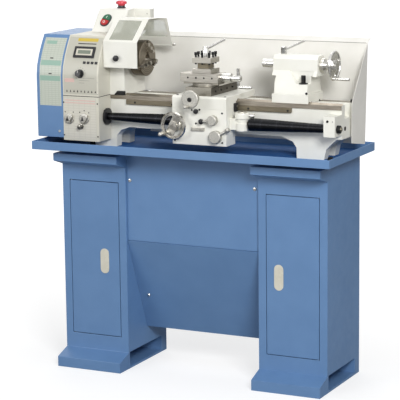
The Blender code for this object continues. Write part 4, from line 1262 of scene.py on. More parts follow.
@dataclass
class EndCover:
    """The hinged cover over belt and gears, with the printed chart on its front."""

    chart_margin: float = 0.012
    chart_low: float = 0.9410
    chart_high: float = 1.1740

    def build(self) -> None:
        """Makes the cover and its chart."""
        cover = extent("end_cover")
        front = LeaningFront(cover.y0, cover.z1)
        stand_in("end_cover", BLUE, "end_cover", Slot.BLUE, 0.0013)
        x0, x1 = cover.x0 + self.chart_margin, cover.x1 - 0.006
        film = front.film("end_cover_chart", x0, x1, self.chart_low, self.chart_high, 0.0004)
        fix(film, CHART, "end_cover", Slot.IVORY)
        bands = [(x0 + 0.010, x1 - 0.036, 1.1530, 1.1640), (x0 + 0.003, x1 - 0.003, 1.0815, 1.0985)]
        bands.append((x0 + 0.003, x1 - 0.003, 1.0280, 1.0460))
        for number, (a, b, c, d) in enumerate(bands):
            fix(
                front.film(f"chart_band_{number}", a, b, c, d, 0.0006), GREEN_PRINT, "end_cover",
                Slot.IVORY,
            )
        outline = [(b * 0.9, a) for a, b in capsule(0.0038, 0.014)]
        for number, z in enumerate((1.1060, 1.0530)):
            mark = front.flat_outline(f"chart_mark_{number}", (x0 + x1) / 2, z, outline, 0.0008)
            fix(mark, MARKING, "end_cover", Slot.BLACK)
        lock = screw_head(
            "end_cover_screw", Vector(
                (cover.x1 - 0.016, cover.y0, 0.852)
            ), FRONT, 0.0045, 0.0018, Head.SOCKET
        )
        fix(lock, BRIGHT, "end_cover", Slot.BRIGHT)
        self.hinges(cover)

    def hinges(self, cover: Extent) -> None:
        """Two barrel hinges at the back edge of the cover."""
        pivot = joint_place("end_cover_swing")
        barrels = []
        for number, z in enumerate((cover.z0 + 0.060, cover.z1 - 0.090)):
            barrels.append(
                turned_part(
                    f"end_cover_barrel_{number}",
                    [(0.0, 0.0036), (0.040, 0.0036)],
                    Vector((pivot.x, pivot.y + 0.0034, z)),
                    UP,
                    20,
                    0.0004,
                )
            )
        fix(joined("end_cover_hinges", barrels), BRIGHT, "end_cover", Slot.BRIGHT)


@dataclass
class ControlPanel:
    """The control housing with its film, display, keys and speed knob, and the gearbox front below it."""

    dial_radius: float = 0.0190
    wing_lean: float = -32.0
    seam_depth: float = 0.0850
    scale_radius: float = 0.021
    film_low: float = 0.9860
    film_high: float = 1.1790

    def build(self) -> None:
        """Makes every piece of the panel."""
        house = extent("control_housing")
        front = LeaningFront(extent("end_cover").y0, house.z1)
        stand_in("control_housing", IVORY, "frame", Slot.IVORY, 0.0016)
        self.film(front, house)
        low = (house.x0 + 0.0002, house.y0 - 0.0002, house.z0 - 0.0016)
        seam = slab(
            "housing_seam", low, (house.x1 + 0.0002, house.y0 + self.seam_depth, house.z0 + 0.0005), 0.0,
        )
        fix(seam, RUBBER, "frame", Slot.RUBBER)
        self.display(front, house)
        self.keys()
        self.speed_knob()
        self.gearbox()

    def film(self, front: LeaningFront, house: Extent) -> None:
        """The printed film: plain bands, dots round the knob and a row of plain marks at the foot."""
        x0, x1 = house.x0 + 0.005, house.x1 - 0.006
        for name, a, b, c, d, thick, finish, slot in (
            ("panel_film", x0, x1, self.film_low, self.film_high, 0.0004, PANEL_FILM, Slot.IVORY),
            ("panel_band", x0 + 0.034, x0 + 0.114, 1.1650, 1.1755, 0.0006, YELLOW_PRINT, Slot.IVORY),
            ("panel_line", x0 + 0.038, x0 + 0.110, 1.1560, 1.1590, 0.0006, MARKING, Slot.BLACK),
            ("panel_note", x0 + 0.004, x0 + 0.042, 1.0270, 1.0400, 0.0006, PINK_PRINT, Slot.IVORY),
        ):
            fix(front.film(name, a, b, c, d, thick), finish, "frame", slot)
        for number in range(3):
            z = 1.0420 - 0.0085 * number
            line = front.film(
                f"panel_note_line_{number}", x0 + 0.060, x0 + 0.122 - 0.02 * number, z, z + 0.0012, 0.0006,
            )
            fix(line, GREY_PRINT_AND_SHADOW, "frame", Slot.IVORY)
        marks = []
        count = 9
        for number in range(count):
            x = -0.4430 + 0.1130 * number / (count - 1)
            half, tall = (0.0026, 0.0040) if number % 2 else (0.0030, 0.0032)
            shape = [(-half, -tall), (half, -tall), (half * 0.3, tall), (-half * 0.3, tall)]
            marks.append(front.flat_outline(f"panel_mark_{number}", x, 0.9960, shape, 0.0007))
        centre, dot = joint_place("speed_turn"), 0.0007
        square = [(-dot, -dot), (dot, -dot), (dot, dot), (-dot, dot)]
        for number in range(11):
            angle = math.radians(225.0 - 27.0 * number)
            x = centre.x + self.scale_radius * math.cos(angle)
            z = centre.z + self.scale_radius * math.sin(angle)
            marks.append(front.flat_outline(f"speed_mark_{number}", x, z, square, 0.0007))
        fix(joined("panel_marks", marks), MARKING, "frame", Slot.BLACK)
        edge = [Vector((house.x1 - 0.0035, house.y0, z)) for z in (0.990, 1.030)]
        screws("panel_screws", edge, FRONT, 0.0024, 0.0008, Head.DOME, DIAL_STEEL, "frame")

    def display(self, front: LeaningFront, house: Extent) -> None:
        """The speed display: a black frame, a pale bezel sunk in it and the grey screen."""
        x, z = house.x0 + 0.0765, 1.1290
        frame_item = front.flat_slab("display_frame", x, z, (0.082, 0.042), 0.0050, 0.0016)
        pick(frame_item)
        out = front.outward(z)
        for face in frame_item.data.polygons:
            face.select = face.normal.dot(out) > 0.99 and face.area > 0.0015
        bpy.ops.object.mode_set(mode="EDIT")
        bpy.ops.mesh.inset(thickness=0.0070)
        bpy.ops.mesh.extrude_region_move(TRANSFORM_OT_translate={"value": -0.0016 * out})
        bpy.ops.object.mode_set(mode="OBJECT")
        fix(frame_item, BLACK, "frame", Slot.BLACK)
        fix(
            front.flat_slab("display_bezel", x, z, (0.0650, 0.0255), 0.0040, 0.0005), BEZEL, "frame",
            Slot.IVORY,
        )
        fix(
            front.flat_slab("display_screen", x, z, (0.0500, 0.0135), 0.0044, 0.0002), SCREEN, "frame",
            Slot.BLACK,
        )

    def keys(self) -> None:
        """Four square push keys with crowned tops."""
        for number in range(1, 5):
            node = f"panel_key_{number}"
            out = joint_out(f"key_{number}_press")
            half = Vector((0.0052, 0.0046, 0.0042))
            cap = place(
                slab(f"key_cap_{number}", -half, half, 0.0012, 3),
                lying(extent(node).middle + out * 0.0008, out),
            )
            fix(cap, BLACK, node, Slot.BLACK, node)

    def speed_knob(self) -> None:
        """A fluted knob on a round skirt, with a white pointer line."""
        out = joint_out("speed_turn")
        seat = joint_place("speed_turn") + out * 0.0022
        skirt = turned_part(
            "speed_knob_skirt", [(0.0, 0.0150), (0.0022, 0.0150), (0.0034, 0.0128)], seat, out, 48, 0.0003,
        )
        outline = []
        for i in range(96):
            angle = 2 * math.pi * i / 96
            radius = 0.0112 - 0.0007 * (0.5 + 0.5 * math.cos(12 * angle)) ** 2
            outline.append((radius * math.cos(angle), radius * math.sin(angle)))
        grip = place(
            drawn_plate("speed_knob_grip", outline, Flat.XY, 0.003, 0.0188, 0.0008, 50.0),
            facing(seat, out),
        )
        knob = joined("speed_knob_fluted", [dress(skirt, BLACK), dress(grip, BLACK)])
        fix(knob, None, "speed_knob", Slot.BLACK, "speed_knob")
        line = slab(
            "speed_knob_pointer", Vector((-0.0006, 0.002, 0.0183)), Vector((0.0006, 0.0105, 0.0192)),
            0.0001,
        )
        fix(place(line, facing(seat, out)), WHITE_PRINT, "speed_knob", Slot.IVORY)

    def gearbox(self) -> None:
        """The gearbox front: a film with a faint chart, two winged dials, a small knob and corner screws."""
        box = extent("gearbox_housing")
        stand_in("gearbox_housing", IVORY, "frame", Slot.IVORY, 0.0016)
        front = LeaningFront(box.y0, 9.0)
        fix(
            front.film("gearbox_film", box.x0 + 0.005, box.x1 - 0.010, 0.8320, 0.9730, 0.0004), GEAR_FILM,
            "frame", Slot.IVORY,
        )
        for number, z in enumerate((0.9620, 0.9530)):
            line = front.film(
                f"gearbox_line_{number}", box.x0 + 0.008, box.x1 - 0.014, z, z + 0.0035, 0.0006,
            )
            fix(line, PINK_PRINT, "frame", Slot.IVORY)
        marks = []
        for dial, angles in (
            ("gear_left_turn", (125.0, 55.0)), ("gear_right_turn", (130.0, 90.0, 50.0)),
            ("feed_direction_turn", ()),
        ):
            centre = joint_place(dial)
            for number, angle in enumerate(angles):
                x = centre.x + 0.028 * math.cos(math.radians(angle))
                z = centre.z + 0.028 * math.sin(math.radians(angle))
                marks.append(front.flat_outline(f"{dial}_mark_{number}", x, z, ring(0.0022, 12), 0.0007))
        fix(joined("gearbox_marks", marks), MARKING, "frame", Slot.BLACK)
        corners = [Vector((box.x1 - 0.0055, box.y0, z)) for z in (0.955, 0.840)]
        corners += [Vector((box.x0 + 0.0025, box.y0, z)) for z in (0.955, 0.840)]
        screws("gearbox_screws", corners, FRONT, 0.0026, 0.0009, Head.SOCKET, DARK_STEEL, "frame")
        plug = screw_head(
            "gearbox_oil_plug", Vector((box.x1, -0.100, 0.9255)), RIGHT, 0.0046, 0.0016, Head.DOME,
        )
        fix(plug, BLACK, "frame", Slot.BLACK)
        for node in ("gear_dial_left", "gear_dial_right"):
            self.winged_dial(node)
        self.small_knob()

    def winged_dial(self, node: str) -> None:
        """A plated dial: a stepped round base, a wing to grip and a black wedge as pointer."""
        joint = {"gear_dial_left": "gear_left_turn", "gear_dial_right": "gear_right_turn"}[node]
        centre = joint_place(joint)
        out = FRONT
        radius = self.dial_radius
        base = turned_part(
            node + "_base",
            [
                (0.0003, radius), (0.0040, radius), (0.0052, radius - 0.0016), (0.0058, radius * 0.62),
                (0.0070, radius * 0.6),
            ],
            centre, out, 56, 0.0003,
        )
        wing = slab(
            node + "_wing", Vector((-0.0038, -0.0160, 0.004)), Vector((0.0038, 0.0160, 0.0135)), 0.0022, 4,
        )
        pinch(wing, 0.010, (0.62, 0.86, 1.0), (0.0, 0.0, 0.0135))
        upright = Matrix.Rotation(math.radians(90), 4, "X")
        lean = Matrix.Rotation(math.radians(self.wing_lean), 4, "Z")
        place(wing, Matrix.Translation(centre + Vector((0.0098, 0, -0.002))) @ upright @ lean)
        fix(
            joined(node + "_plated", [dress(base, MATT_CHROME), dress(wing, DIAL_STEEL)]), None, node,
            Slot.STEEL, node,
        )
        wedge = drawn_plate(
            node + "_wedge", [(-0.0062, 0.0), (0.0062, 0.0), (0.0, 0.0165)], Flat.XY, 0.0050, 0.0082,
            0.0003,
        )
        place(wedge, Matrix.Translation(centre + Vector((-0.0052, 0, -0.0080))) @ upright)
        fix(wedge, BLACK, node, Slot.BLACK)

    def small_knob(self) -> None:
        """The feed-direction knob, a small ball on a collar."""
        centre = joint_place("feed_direction_turn")
        profile = [(0.0003, 0.0095), (0.0035, 0.0095), (0.0045, 0.0062), (0.0075, 0.0060), (0.0100, 0.0082)]
        profile += [(0.0130, 0.0090), (0.0155, 0.0078), (0.0168, 0.0045), (0.0171, 0.0008)]
        knob = turned_part("feed_knob_turned", profile, centre, FRONT, 40)
        fix(knob, DARK_CHROME, "feed_direction_knob", Slot.STEEL, "feed_direction_knob")


@dataclass
class Headstock:
    """The head casting and the electrical box with its switches."""

    switch_width: float = 0.036
    switch_height: float = 0.052
    switch_lean: float = -14.0

    def build(self) -> None:
        """Makes every piece."""
        stand_in("headstock", WHITE, "frame", Slot.WHITE, 0.0025, 3)
        stand_in("electrical_box", WHITE, "frame", Slot.WHITE, 0.0016)
        self.switch()
        self.emergency_stop()
        self.clamp_block()

    def switch(self) -> None:
        """The start and stop switch: a dark capsule plate with a green and a red half-round button."""
        start, stop = extent("start_button"), extent("stop_button")
        out = joint_out("start_press")
        middle = (start.middle + stop.middle) / 2
        face = max(vertex.co.dot(out) for vertex in frame["nodes"]["electrical_box"].data.vertices)
        middle += out * (face - middle.dot(out))
        plate = drawn_plate(
            "switch_plate", capsule(self.switch_width, self.switch_height), Flat.XY, -0.0005, 0.0034,
            0.0010,
        )
        seat = lying(middle, out) @ Matrix.Rotation(math.radians(self.switch_lean), 4, "Z")
        fix(place(plate, seat), SWITCH_PLATE, "frame", Slot.BLACK)
        inner = capsule(self.switch_width - 0.007, self.switch_height - 0.007)
        for label, keep, finish, node, slot in (
            ("start", 1, GREEN, "start_button", Slot.GREEN),
            ("stop", -1, BUTTON_RED, "stop_button", Slot.RED),
        ):
            rim, gap = abs(inner[0][0]) * keep, 0.0007 * keep
            arc = [(x, y) for x, y in inner if y * keep >= 0 and abs(y) > 0.001]
            cap = drawn_plate(f"{label}_cap", [(rim, gap), *arc, (-rim, gap)], Flat.XY, 0.0, 0.0078, 0.0012)
            fix(place(cap, seat), finish, node, slot, node)
            sign = [(-0.0011, -0.0045), (0.0011, -0.0045), (0.0011, 0.0045), (-0.0011, 0.0045)]
            if label == "stop":
                sign = ring(0.0045, 24)
            print_item = drawn_plate(f"{label}_sign", sign, Flat.XY, 0.0070, 0.0081)
            if label == "stop":
                hole = drawn_plate("hole", [(x * 0.62, y * 0.62) for x, y in sign], Flat.XY, 0.0060, 0.0090)
                cut_away(print_item, hole)
            place(print_item, seat @ Matrix.Translation((0.0, 0.0105 * keep, 0.0)))
            fix(print_item, WHITE_PRINT, node, Slot.IVORY)

    def emergency_stop(self) -> None:
        """A red mushroom button on a black collar and a pale ring."""
        node = extent("emergency_stop")
        box = extent("electrical_box")
        base = Vector((node.x, node.y, box.z1))
        collar = turned_part(
            "emergency_collar",
            [(0.0, 0.0155), (0.0030, 0.0155), (0.0040, 0.0128), (0.0095, 0.0122)], base, UP, 48, 0.0004,
        )
        fix(collar, BLACK, "frame", Slot.BLACK)
        high = node.z1 - box.z1
        profile = [(0.0100, 0.0125), (0.0135, 0.0135), (0.0150, 0.0185), (0.0165, 0.0197), (0.0200, 0.0197)]
        profile += [(0.0235, 0.0180), (high - 0.0012, 0.0130), (high, 0.0070)]
        cap = turned_part("emergency_mushroom", profile, base, UP, 56)
        fix(cap, RED, "emergency_stop", Slot.RED, "emergency_stop")
        spots = [Vector((box.x1 - 0.012, 0.150, 1.245)), Vector((box.x1 - 0.012, 0.150, 1.205))]
        screws("box_screws", spots, FRONT, 0.0028, 0.0012, Head.DOME, DIAL_STEEL, "frame")

    def clamp_block(self) -> None:
        """The dark clamp that holds the head's front foot to the way."""
        head, bed = extent("headstock"), extent("bed")
        top = bed.z1 - WAY_DROP
        block = slab(
            "head_clamp_block", Vector((head.x1 - 0.036, head.y0 - 0.010, top + 0.0005)),
            Vector((head.x1 + 0.004, head.y0 + 0.002, top + 0.0150)), 0.0015,
        )
        pinch(block, top + 0.008, (0.72, 1.0, 1.0), (head.x1, head.y0, top))
        fix(block, DARK_STEEL, "frame", Slot.STEEL)


@dataclass
class Drive:
    """Motor, pulleys, belt and the hollow spindle's rear end, inside and behind the covers."""

    fins: int = 9
    fin_pitch: float = 0.014

    def build(self) -> None:
        """Makes every piece."""
        motor = extent("motor")
        stand_in("motor", MOTOR_PAINT, "frame", Slot.MOTOR, 0.0012)
        fin = [(0.0, motor.y1 - motor.y - 0.001), (0.004, motor.y1 - motor.y - 0.001)]
        fins = []
        for number in range(self.fins):
            at = Vector((motor.x0 + 0.040 + self.fin_pitch * number, motor.y, motor.z))
            fins.append(turned_part(f"motor_fin_{number}", fin, at, RIGHT, 48, 0.0006))
        fix(joined("motor_fins", fins), MOTOR_PAINT, "frame", Slot.MOTOR)
        stand_in("motor_pulley", DARK_STEEL, "motor_pulley", Slot.STEEL, 0.0005)
        stand_in("drive_belt", RUBBER, "frame", Slot.RUBBER, 0.0005)
        stand_in("spindle", WAY_STEEL, "spindle", Slot.STEEL, 0.0005)


# ---------------------------------------------------------------- chuck and its guard
@dataclass
class Chuck:
    """A three-jaw scroll chuck: grooved body, key sockets, stepped jaws in their slots."""

    socket_radius: float = 0.0062

    def build(self) -> None:
        """Makes every piece."""
        body = extent("chuck_body")
        item = softened_copy("chuck_body", 0.0009, 2)
        two_tone(item, CHUCK_RIM, CHUCK_FACE, lambda face: face.normal.x > 0.8)
        fix(item, None, "spindle", Slot.STEEL, "chuck_body")
        centre = Vector((body.x0, body.y, body.z))
        radius = (body.z1 - body.z0) / 2
        bands = []
        for number, offset in enumerate((0.0060, 0.0300)):
            bands.append(
                turned_part(
                    f"chuck_band_{number}", [(offset, radius - 0.0003), (offset + 0.0016, radius - 0.0003)],
                    centre, RIGHT, 96, 0.0002,
                )
            )
        fix(joined("chuck_bands", bands), BRIGHT, "spindle", Slot.STEEL)
        sockets = []
        for number in range(3):
            angle = math.radians(60.0 + 120.0 * number)
            out = Vector((0, math.sin(angle), math.cos(angle)))
            seat = body.middle + out * (radius - 0.0022)
            socket = turned_part(
                f"chuck_socket_{number}",
                [
                    (0.0, self.socket_radius), (0.0020, self.socket_radius),
                    (0.0020, self.socket_radius * 0.78), (0.0004, self.socket_radius * 0.76),
                ],
                seat, out, 28,
            )
            sockets.append(socket)
        fix(joined("chuck_sockets", sockets), DARK_STEEL, "spindle", Slot.STEEL)
        for number in range(1, 4):
            node = f"chuck_jaw_{number}"
            stand_in(node, JAW_STEEL, node, Slot.BRIGHT, 0.0007)


@dataclass
class ChuckGuard:
    """The hinged guard: a white moulded hood with two smoked windows and a black knob."""

    knob_radius: float = 0.0105
    sheet: float = 0.002
    border: float = 0.0095

    def build(self) -> None:
        """Makes the hood, its windows, the hinge rod and the knob."""
        hood = extent("chuck_guard")
        item = softened_copy("chuck_guard", 0.0)
        ridge = Vector((0.0, -0.0120, hood.z1))
        brow = Vector((0.0, hood.y0, 1.1690))
        crown = Vector((0.0, 0.0660, 1.2400))
        hem = Vector((0.0, 0.0960, 1.1640))
        self.window(item, "front_window", hood.x0 + 0.020, hood.x1 - 0.053, brow, ridge)
        self.window(item, "rear_window", hood.x0 + 0.022, hood.x1 - 0.012, hem, crown)
        soften(item, 0.0006, 2)
        fix(item, WHITE, "chuck_guard", Slot.WHITE, "chuck_guard")
        rod = extent("guard_hinge_rod")
        bar = turned_part(
            "guard_rod_turned",
            [(0.0, 0.0044), (rod.x1 - rod.x0 - 0.002, 0.0044), (rod.x1 - rod.x0, 0.0034)],
            Vector((rod.x0, rod.y, rod.z)), RIGHT, 32,
        )
        fix(bar, BRIGHT, "frame", Slot.BRIGHT, "guard_hinge_rod")
        knob = turned_part(
            "guard_knob",
            [
                (-0.002, 0.0062), (0.003, 0.0058), (0.005, 0.0085), (0.009, self.knob_radius),
                (0.014, self.knob_radius),
            ]
            + [(0.018, 0.0082), (0.020, 0.0045)],
            Vector((hood.x0 + 0.055, hood.y0, 1.1130)), FRONT, 40,
        )
        fix(knob, BLACK, "chuck_guard", Slot.BLACK)

    def window(
        self, sheet_item: bpy.types.Object, name: str, x0: float, x1: float, foot: Vector, head: Vector
    ) -> None:
        """Cuts one window in the bent sheet and glazes it.

        Args:
            sheet_item: the hood.
            name: the pane's name.
            x0: left edge.
            x1: right edge.
            foot: the lower fold of this leaf.
            head: the upper fold of this leaf.
        """
        rise = (head - foot).normalized()
        out = RIGHT.cross(rise)
        side = 1 if out.z > 0 else -1
        middle = (foot + head) / 2 + Vector(((x0 + x1) / 2, 0, 0)) - out * self.sheet / 2 * side
        matrix = Matrix.Translation(middle) @ Matrix((RIGHT, rise, out)).transposed().to_4x4()
        wide, tall = (x1 - x0) / 2, (head - foot).length / 2 - self.border
        tool = place(slab(name + "_tool", (-wide, -tall, -0.006), (wide, tall, 0.006), 0.0), matrix)
        cut_away(sheet_item, tool)
        pane = slab(
            name, (-wide + 0.0001, -tall + 0.0001, -0.0006), (wide - 0.0001, tall - 0.0001, 0.0006), 0.0,
        )
        fix(place(pane, matrix), GLASS, "chuck_guard", Slot.WHITE)


@dataclass
class SplashGuard:
    """The folded sheet behind the bed, with its top fold and the lip over the cut-out for the motor."""

    lip_y: float = 0.1500

    def build(self) -> None:
        """Makes the sheet, a thin grey strip painted as the shadow line under its top fold, and the lip."""
        sheet = extent("splash_guard")
        stand_in("splash_guard", SHEET_WHITE, "frame", Slot.WHITE, 0.0006)
        fold = sheet.z1 - 0.0140
        # A thin grey strip along the top fold: painted shadow under the fold.
        seam = slab(
            "splash_fold_painted_shadow", (sheet.x0 + 0.001, 0.1632, fold - 0.0009),
            (sheet.x1 - 0.004, 0.1644, fold + 0.0007), 0.0,
        )
        fix(seam, GREY_PRINT_AND_SHADOW, "frame", Slot.WHITE)
        motor = extent("motor")
        low = (sheet.x0 + 0.0002, self.lip_y, motor.z1 - 0.0035)
        lip = slab(
            "splash_cutout_lip", low, (motor.x1 + 0.0060, self.lip_y + 0.0030, motor.z1 + 0.0050), 0.0,
        )
        fix(lip, SHEET_WHITE, "frame", Slot.WHITE)


# ---------------------------------------------------------------- feed screw
@dataclass
class FeedScrew:
    """The leadscrew with its thread, its end collar and the telescopic spring covers."""

    pitch: float = 0.003
    thread_from: float = 0.465
    thread_to: float = 0.720
    cover_turns: int = 22
    cover_taper: float = 0.66

    def build(self) -> None:
        """Makes every piece."""
        screw = extent("leadscrew")
        axis = Vector((0, screw.y, screw.z))
        radius = (screw.z1 - screw.z0) / 2
        profile = [(0.0, radius), (self.thread_from, radius)]
        for number in range(int((self.thread_to - self.thread_from) / self.pitch)):
            at = self.thread_from + self.pitch * number
            profile += [
                (at + 0.0008, radius - 0.0010), (at + 0.0016, radius - 0.0010), (at + 0.0024, radius),
            ]
            profile.append((at + self.pitch, radius))
        profile += [(screw.x1 - screw.x0 - 0.003, radius), (screw.x1 - screw.x0, radius * 0.8)]
        turned = turned_part("leadscrew_threaded", profile, axis + Vector((screw.x0, 0, 0)), RIGHT, 32)
        fix(turned, LEAD_STEEL, "leadscrew", Slot.STEEL, "leadscrew")
        house = extent("gearbox_housing")
        flange = turned_part(
            "leadscrew_flange",
            [(0.0002, 0.0170), (0.0032, 0.0170), (0.0034, 0.0290), (0.0098, 0.0290), (0.0104, 0.0255)],
            axis + Vector((house.x1, 0, 0)), RIGHT, 56, 0.0005,
        )
        fix(flange, BLACK, "frame", Slot.BLACK)
        bracket = extent("leadscrew_bracket")
        collar = turned_part(
            "leadscrew_end_collar", [(0.0004, 0.0135), (0.0110, 0.0135), (0.0120, 0.0120)],
            axis + Vector((bracket.x1, 0, 0)), RIGHT, 40, 0.0005,
        )
        fix(collar, DARK_STEEL, "leadscrew", Slot.STEEL)
        self.cover("cover_left")
        self.cover("cover_right")

    def cover(self, node: str) -> None:
        """One telescopic cover: a closely wound strip, widest at the carriage end; the real one shortens as
        the carriage comes to it, this one stays as built.
        """
        box = extent(node)
        left = node == "cover_left"
        small, large = (box.x0, box.x1) if left else (box.x1, box.x0)
        big_radius = (box.z1 - box.z0) / 2
        small_radius = big_radius * self.cover_taper
        turns = self.cover_turns
        way = Vector((1.0 if left else -1.0, 0, 0))
        length = abs(large - small)
        profile = []
        for number in range(turns):
            radius = small_radius + (big_radius - small_radius) * number / (turns - 1)
            at = length * number / turns
            profile += [
                (at, radius - 0.0007), (at + 0.0005, radius), (at + length / turns - 0.0004, radius),
            ]
        profile.append((length, big_radius))
        item = turned_part(node + "_wound", profile, Vector((small, box.y, box.z)), way, 56)
        dress(item, SPRING)
        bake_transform(item)
        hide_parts(node)
        log.info("%s: %d faces, blended", item.name, len(item.data.polygons))


# ---------------------------------------------------------------- hand controls
@dataclass
class Carriage:
    """Saddle, apron and everything that the operator turns on them."""

    def build(self) -> None:
        """Makes every piece."""
        self.castings()
        self.apron_fittings()
        self.wheels()
        self.levers()
        self.dial()
        self.slides()
        self.tool_holder()

    def castings(self) -> None:
        """Saddle and apron, with way wipers at the saddle's ends."""
        stand_in("saddle", WHITE, "carriage", Slot.WHITE, 0.0022, 3)
        stand_in("apron", WHITE, "carriage", Slot.WHITE, 0.0022, 3)
        saddle = extent("saddle")
        wipers = []
        for number, (x, way) in enumerate(((saddle.x0, -1.0), (saddle.x1, 1.0))):
            for row, y in enumerate((saddle.y0 + 0.069, saddle.y1 - 0.045)):
                low = Vector((min(x, x + way * 0.006), y - 0.010, saddle.z0 - 0.012))
                high = Vector((max(x, x + way * 0.006), y + 0.018, saddle.z0 + 0.016))
                wipers.append(slab(f"way_wiper_{number}_{row}", low, high, 0.0008))
        fix(joined("way_wipers", wipers), RUBBER, "carriage", Slot.RUBBER)
        spots = [
            Vector((saddle.x1 + 0.006, y, saddle.z0 + 0.005)) for y in (
                saddle.y0 + 0.073, saddle.y1 - 0.041,
            )
        ]
        screws("wiper_screws", spots, RIGHT, 0.0030, 0.0014, Head.DOME, BRIGHT, "carriage")
        tops = [
            Vector((x, y, saddle.z1)) for x in (
                saddle.x0 + 0.012, saddle.x1 - 0.012,
            ) for y in (saddle.y0 + 0.018,)
        ]
        screws("saddle_screws", tops, UP, 0.0042, 0.0015, Head.SOCKET, DARK_STEEL, "carriage")

    def apron_fittings(self) -> None:
        """Small things on the apron's front: a lock knob, screws and the grey stop block."""
        apron = extent("apron")
        knob = turned_part(
            "apron_knob",
            [
                (0.0, 0.0050), (0.0040, 0.0050), (0.0052, 0.0082), (0.0110, 0.0088), (0.0148, 0.0070),
                (0.0160, 0.0030),
            ],
            Vector((0.056, apron.y0, 0.9480)), FRONT, 36, 0.0003,
        )
        fix(knob, BLACK, "carriage", Slot.BLACK)
        places = (
            (0.037, 0.9510), (0.066, 0.9535), (0.052, 0.9060),
            (0.150, 0.9450), (0.150, 0.8450), (-0.028, 0.8450),
        )
        spots = [Vector((x, apron.y0, z)) for x, z in places]
        screws("apron_screws", spots, FRONT, 0.0032, 0.0013, Head.SOCKET, DARK_STEEL, "carriage")
        block = slab(
            "apron_stop", (0.0370, apron.y0 - 0.006, 0.8810), (0.0840, apron.y0 + 0.001, 0.8935), 0.0010,
        )
        fix(block, DIAL_STEEL, "carriage", Slot.STEEL)

    def wheels(self) -> None:
        """The carriage and cross handwheels, the nut of the second and the turning grip of the first."""
        for node, finish in (("carriage_handwheel", WHEEL_STEEL), ("cross_handwheel", MATT_CHROME)):
            stand_in(node, finish, node, Slot.BRIGHT, 0.0005, 2, WHEEL_CORNER)
        nut = turned_part(
            "cross_wheel_nut", [(0.0, 0.0072), (0.0030, 0.0072), (0.0040, 0.0060)],
            Vector((0.0550, -0.1840, 0.9935)), FRONT, 24,
        )
        fix(nut, DARK_STEEL, "cross_handwheel", Slot.STEEL)
        handle = extent("carriage_handle")
        grip = turned_part(
            "carriage_grip",
            [(0.0, 0.0024), (0.0104, 0.0024), (0.0108, 0.0060), (0.0208, 0.0072), (0.0328, 0.0078)]
            + [(0.0420, 0.0074), (0.0480, 0.0060), (0.0505, 0.0032)],
            Vector((handle.x, handle.y1, handle.z)), FRONT, 40,
        )
        fix(grip, MATT_CHROME, "carriage_handle", Slot.BRIGHT, "carriage_handle")

    def levers(self) -> None:
        """Half-nut lever and feed lever."""
        ball = extent("half_nut_lever").x0 + 0.019
        nut = softened_copy("half_nut_lever", 0.0005, 2, LEVER_CORNER)
        two_tone(nut, MATT_CHROME, BLACK, lambda face: face.center.x < ball)
        fix(nut, None, "half_nut_lever", Slot.BRIGHT, "half_nut_lever")
        stand_in("feed_lever", MATT_CHROME, "feed_lever", Slot.BRIGHT, 0.0005, 2, LEVER_CORNER)

    def dial(self) -> None:
        """The thread dial's housing with its graduated cap and lock screw."""
        box = extent("thread_dial")
        stand_in("thread_dial", WHITE, "carriage", Slot.WHITE, 0.0012, 3)
        cap = turned_part(
            "thread_dial_cap",
            [(-0.0006, 0.0160), (0.0022, 0.0160), (0.0034, 0.0145)],
            Vector((0.2060, -0.0900, box.z1)), UP, 48, 0.0003,
        )
        fix(cap, DIAL_STEEL, "carriage", Slot.STEEL)
        screw = turned_part(
            "thread_dial_screw",
            [(-0.004, 0.0040), (0.006, 0.0040), (0.007, 0.0062), (0.018, 0.0068), (0.021, 0.0040)],
            Vector((box.x1, -0.0900, 0.9360)), RIGHT, 28, 0.0003,
        )
        fix(screw, BRIGHT, "carriage", Slot.BRIGHT)

    def slides(self) -> None:
        """Cross slide with its gib screws, the swivel base and the top slide with its crank."""
        cross = extent("cross_slide")
        item = softened_copy("cross_slide", 0.0012, 2)
        two_tone(item, SLIDE_STEEL, FLANK_STEEL, lambda face: abs(face.normal.x) > 0.6)
        fix(item, None, "cross_slide", Slot.STEEL, "cross_slide")
        spots = [
            Vector((cross.x1, cross.y0 + 0.035 + 0.045 * number, cross.z0 + 0.020)) for number in range(4)
        ]
        screws("cross_gib_screws", spots, RIGHT, 0.0034, 0.0018, Head.SOCKET, DARK_STEEL, "cross_slide")
        base = extent("swivel_base")
        stand_in("swivel_base", SLIDE_STEEL, "swivel_base", Slot.STEEL, 0.0010, 2)
        spots = [Vector((x, base.y, base.z1)) for x in (base.x0 + 0.009, base.x1 - 0.009)]
        screws("swivel_screws", spots, UP, 0.0040, 0.0016, Head.SOCKET, DARK_STEEL, "swivel_base")
        top = extent("top_slide")
        stand_in("top_slide", TOP_STEEL, "top_slide", Slot.STEEL, 0.0011, 2)
        spots = [Vector((top.x0 + 0.030 + 0.030 * number, top.y0, top.z0 + 0.015)) for number in range(4)]
        screws("top_gib_screws", spots, FRONT, 0.0030, 0.0014, Head.SOCKET, DARK_STEEL, "top_slide")
        stand_in("top_slide_crank", BRIGHT, "top_slide_crank", Slot.BRIGHT, 0.0004, 2, LEVER_CORNER)

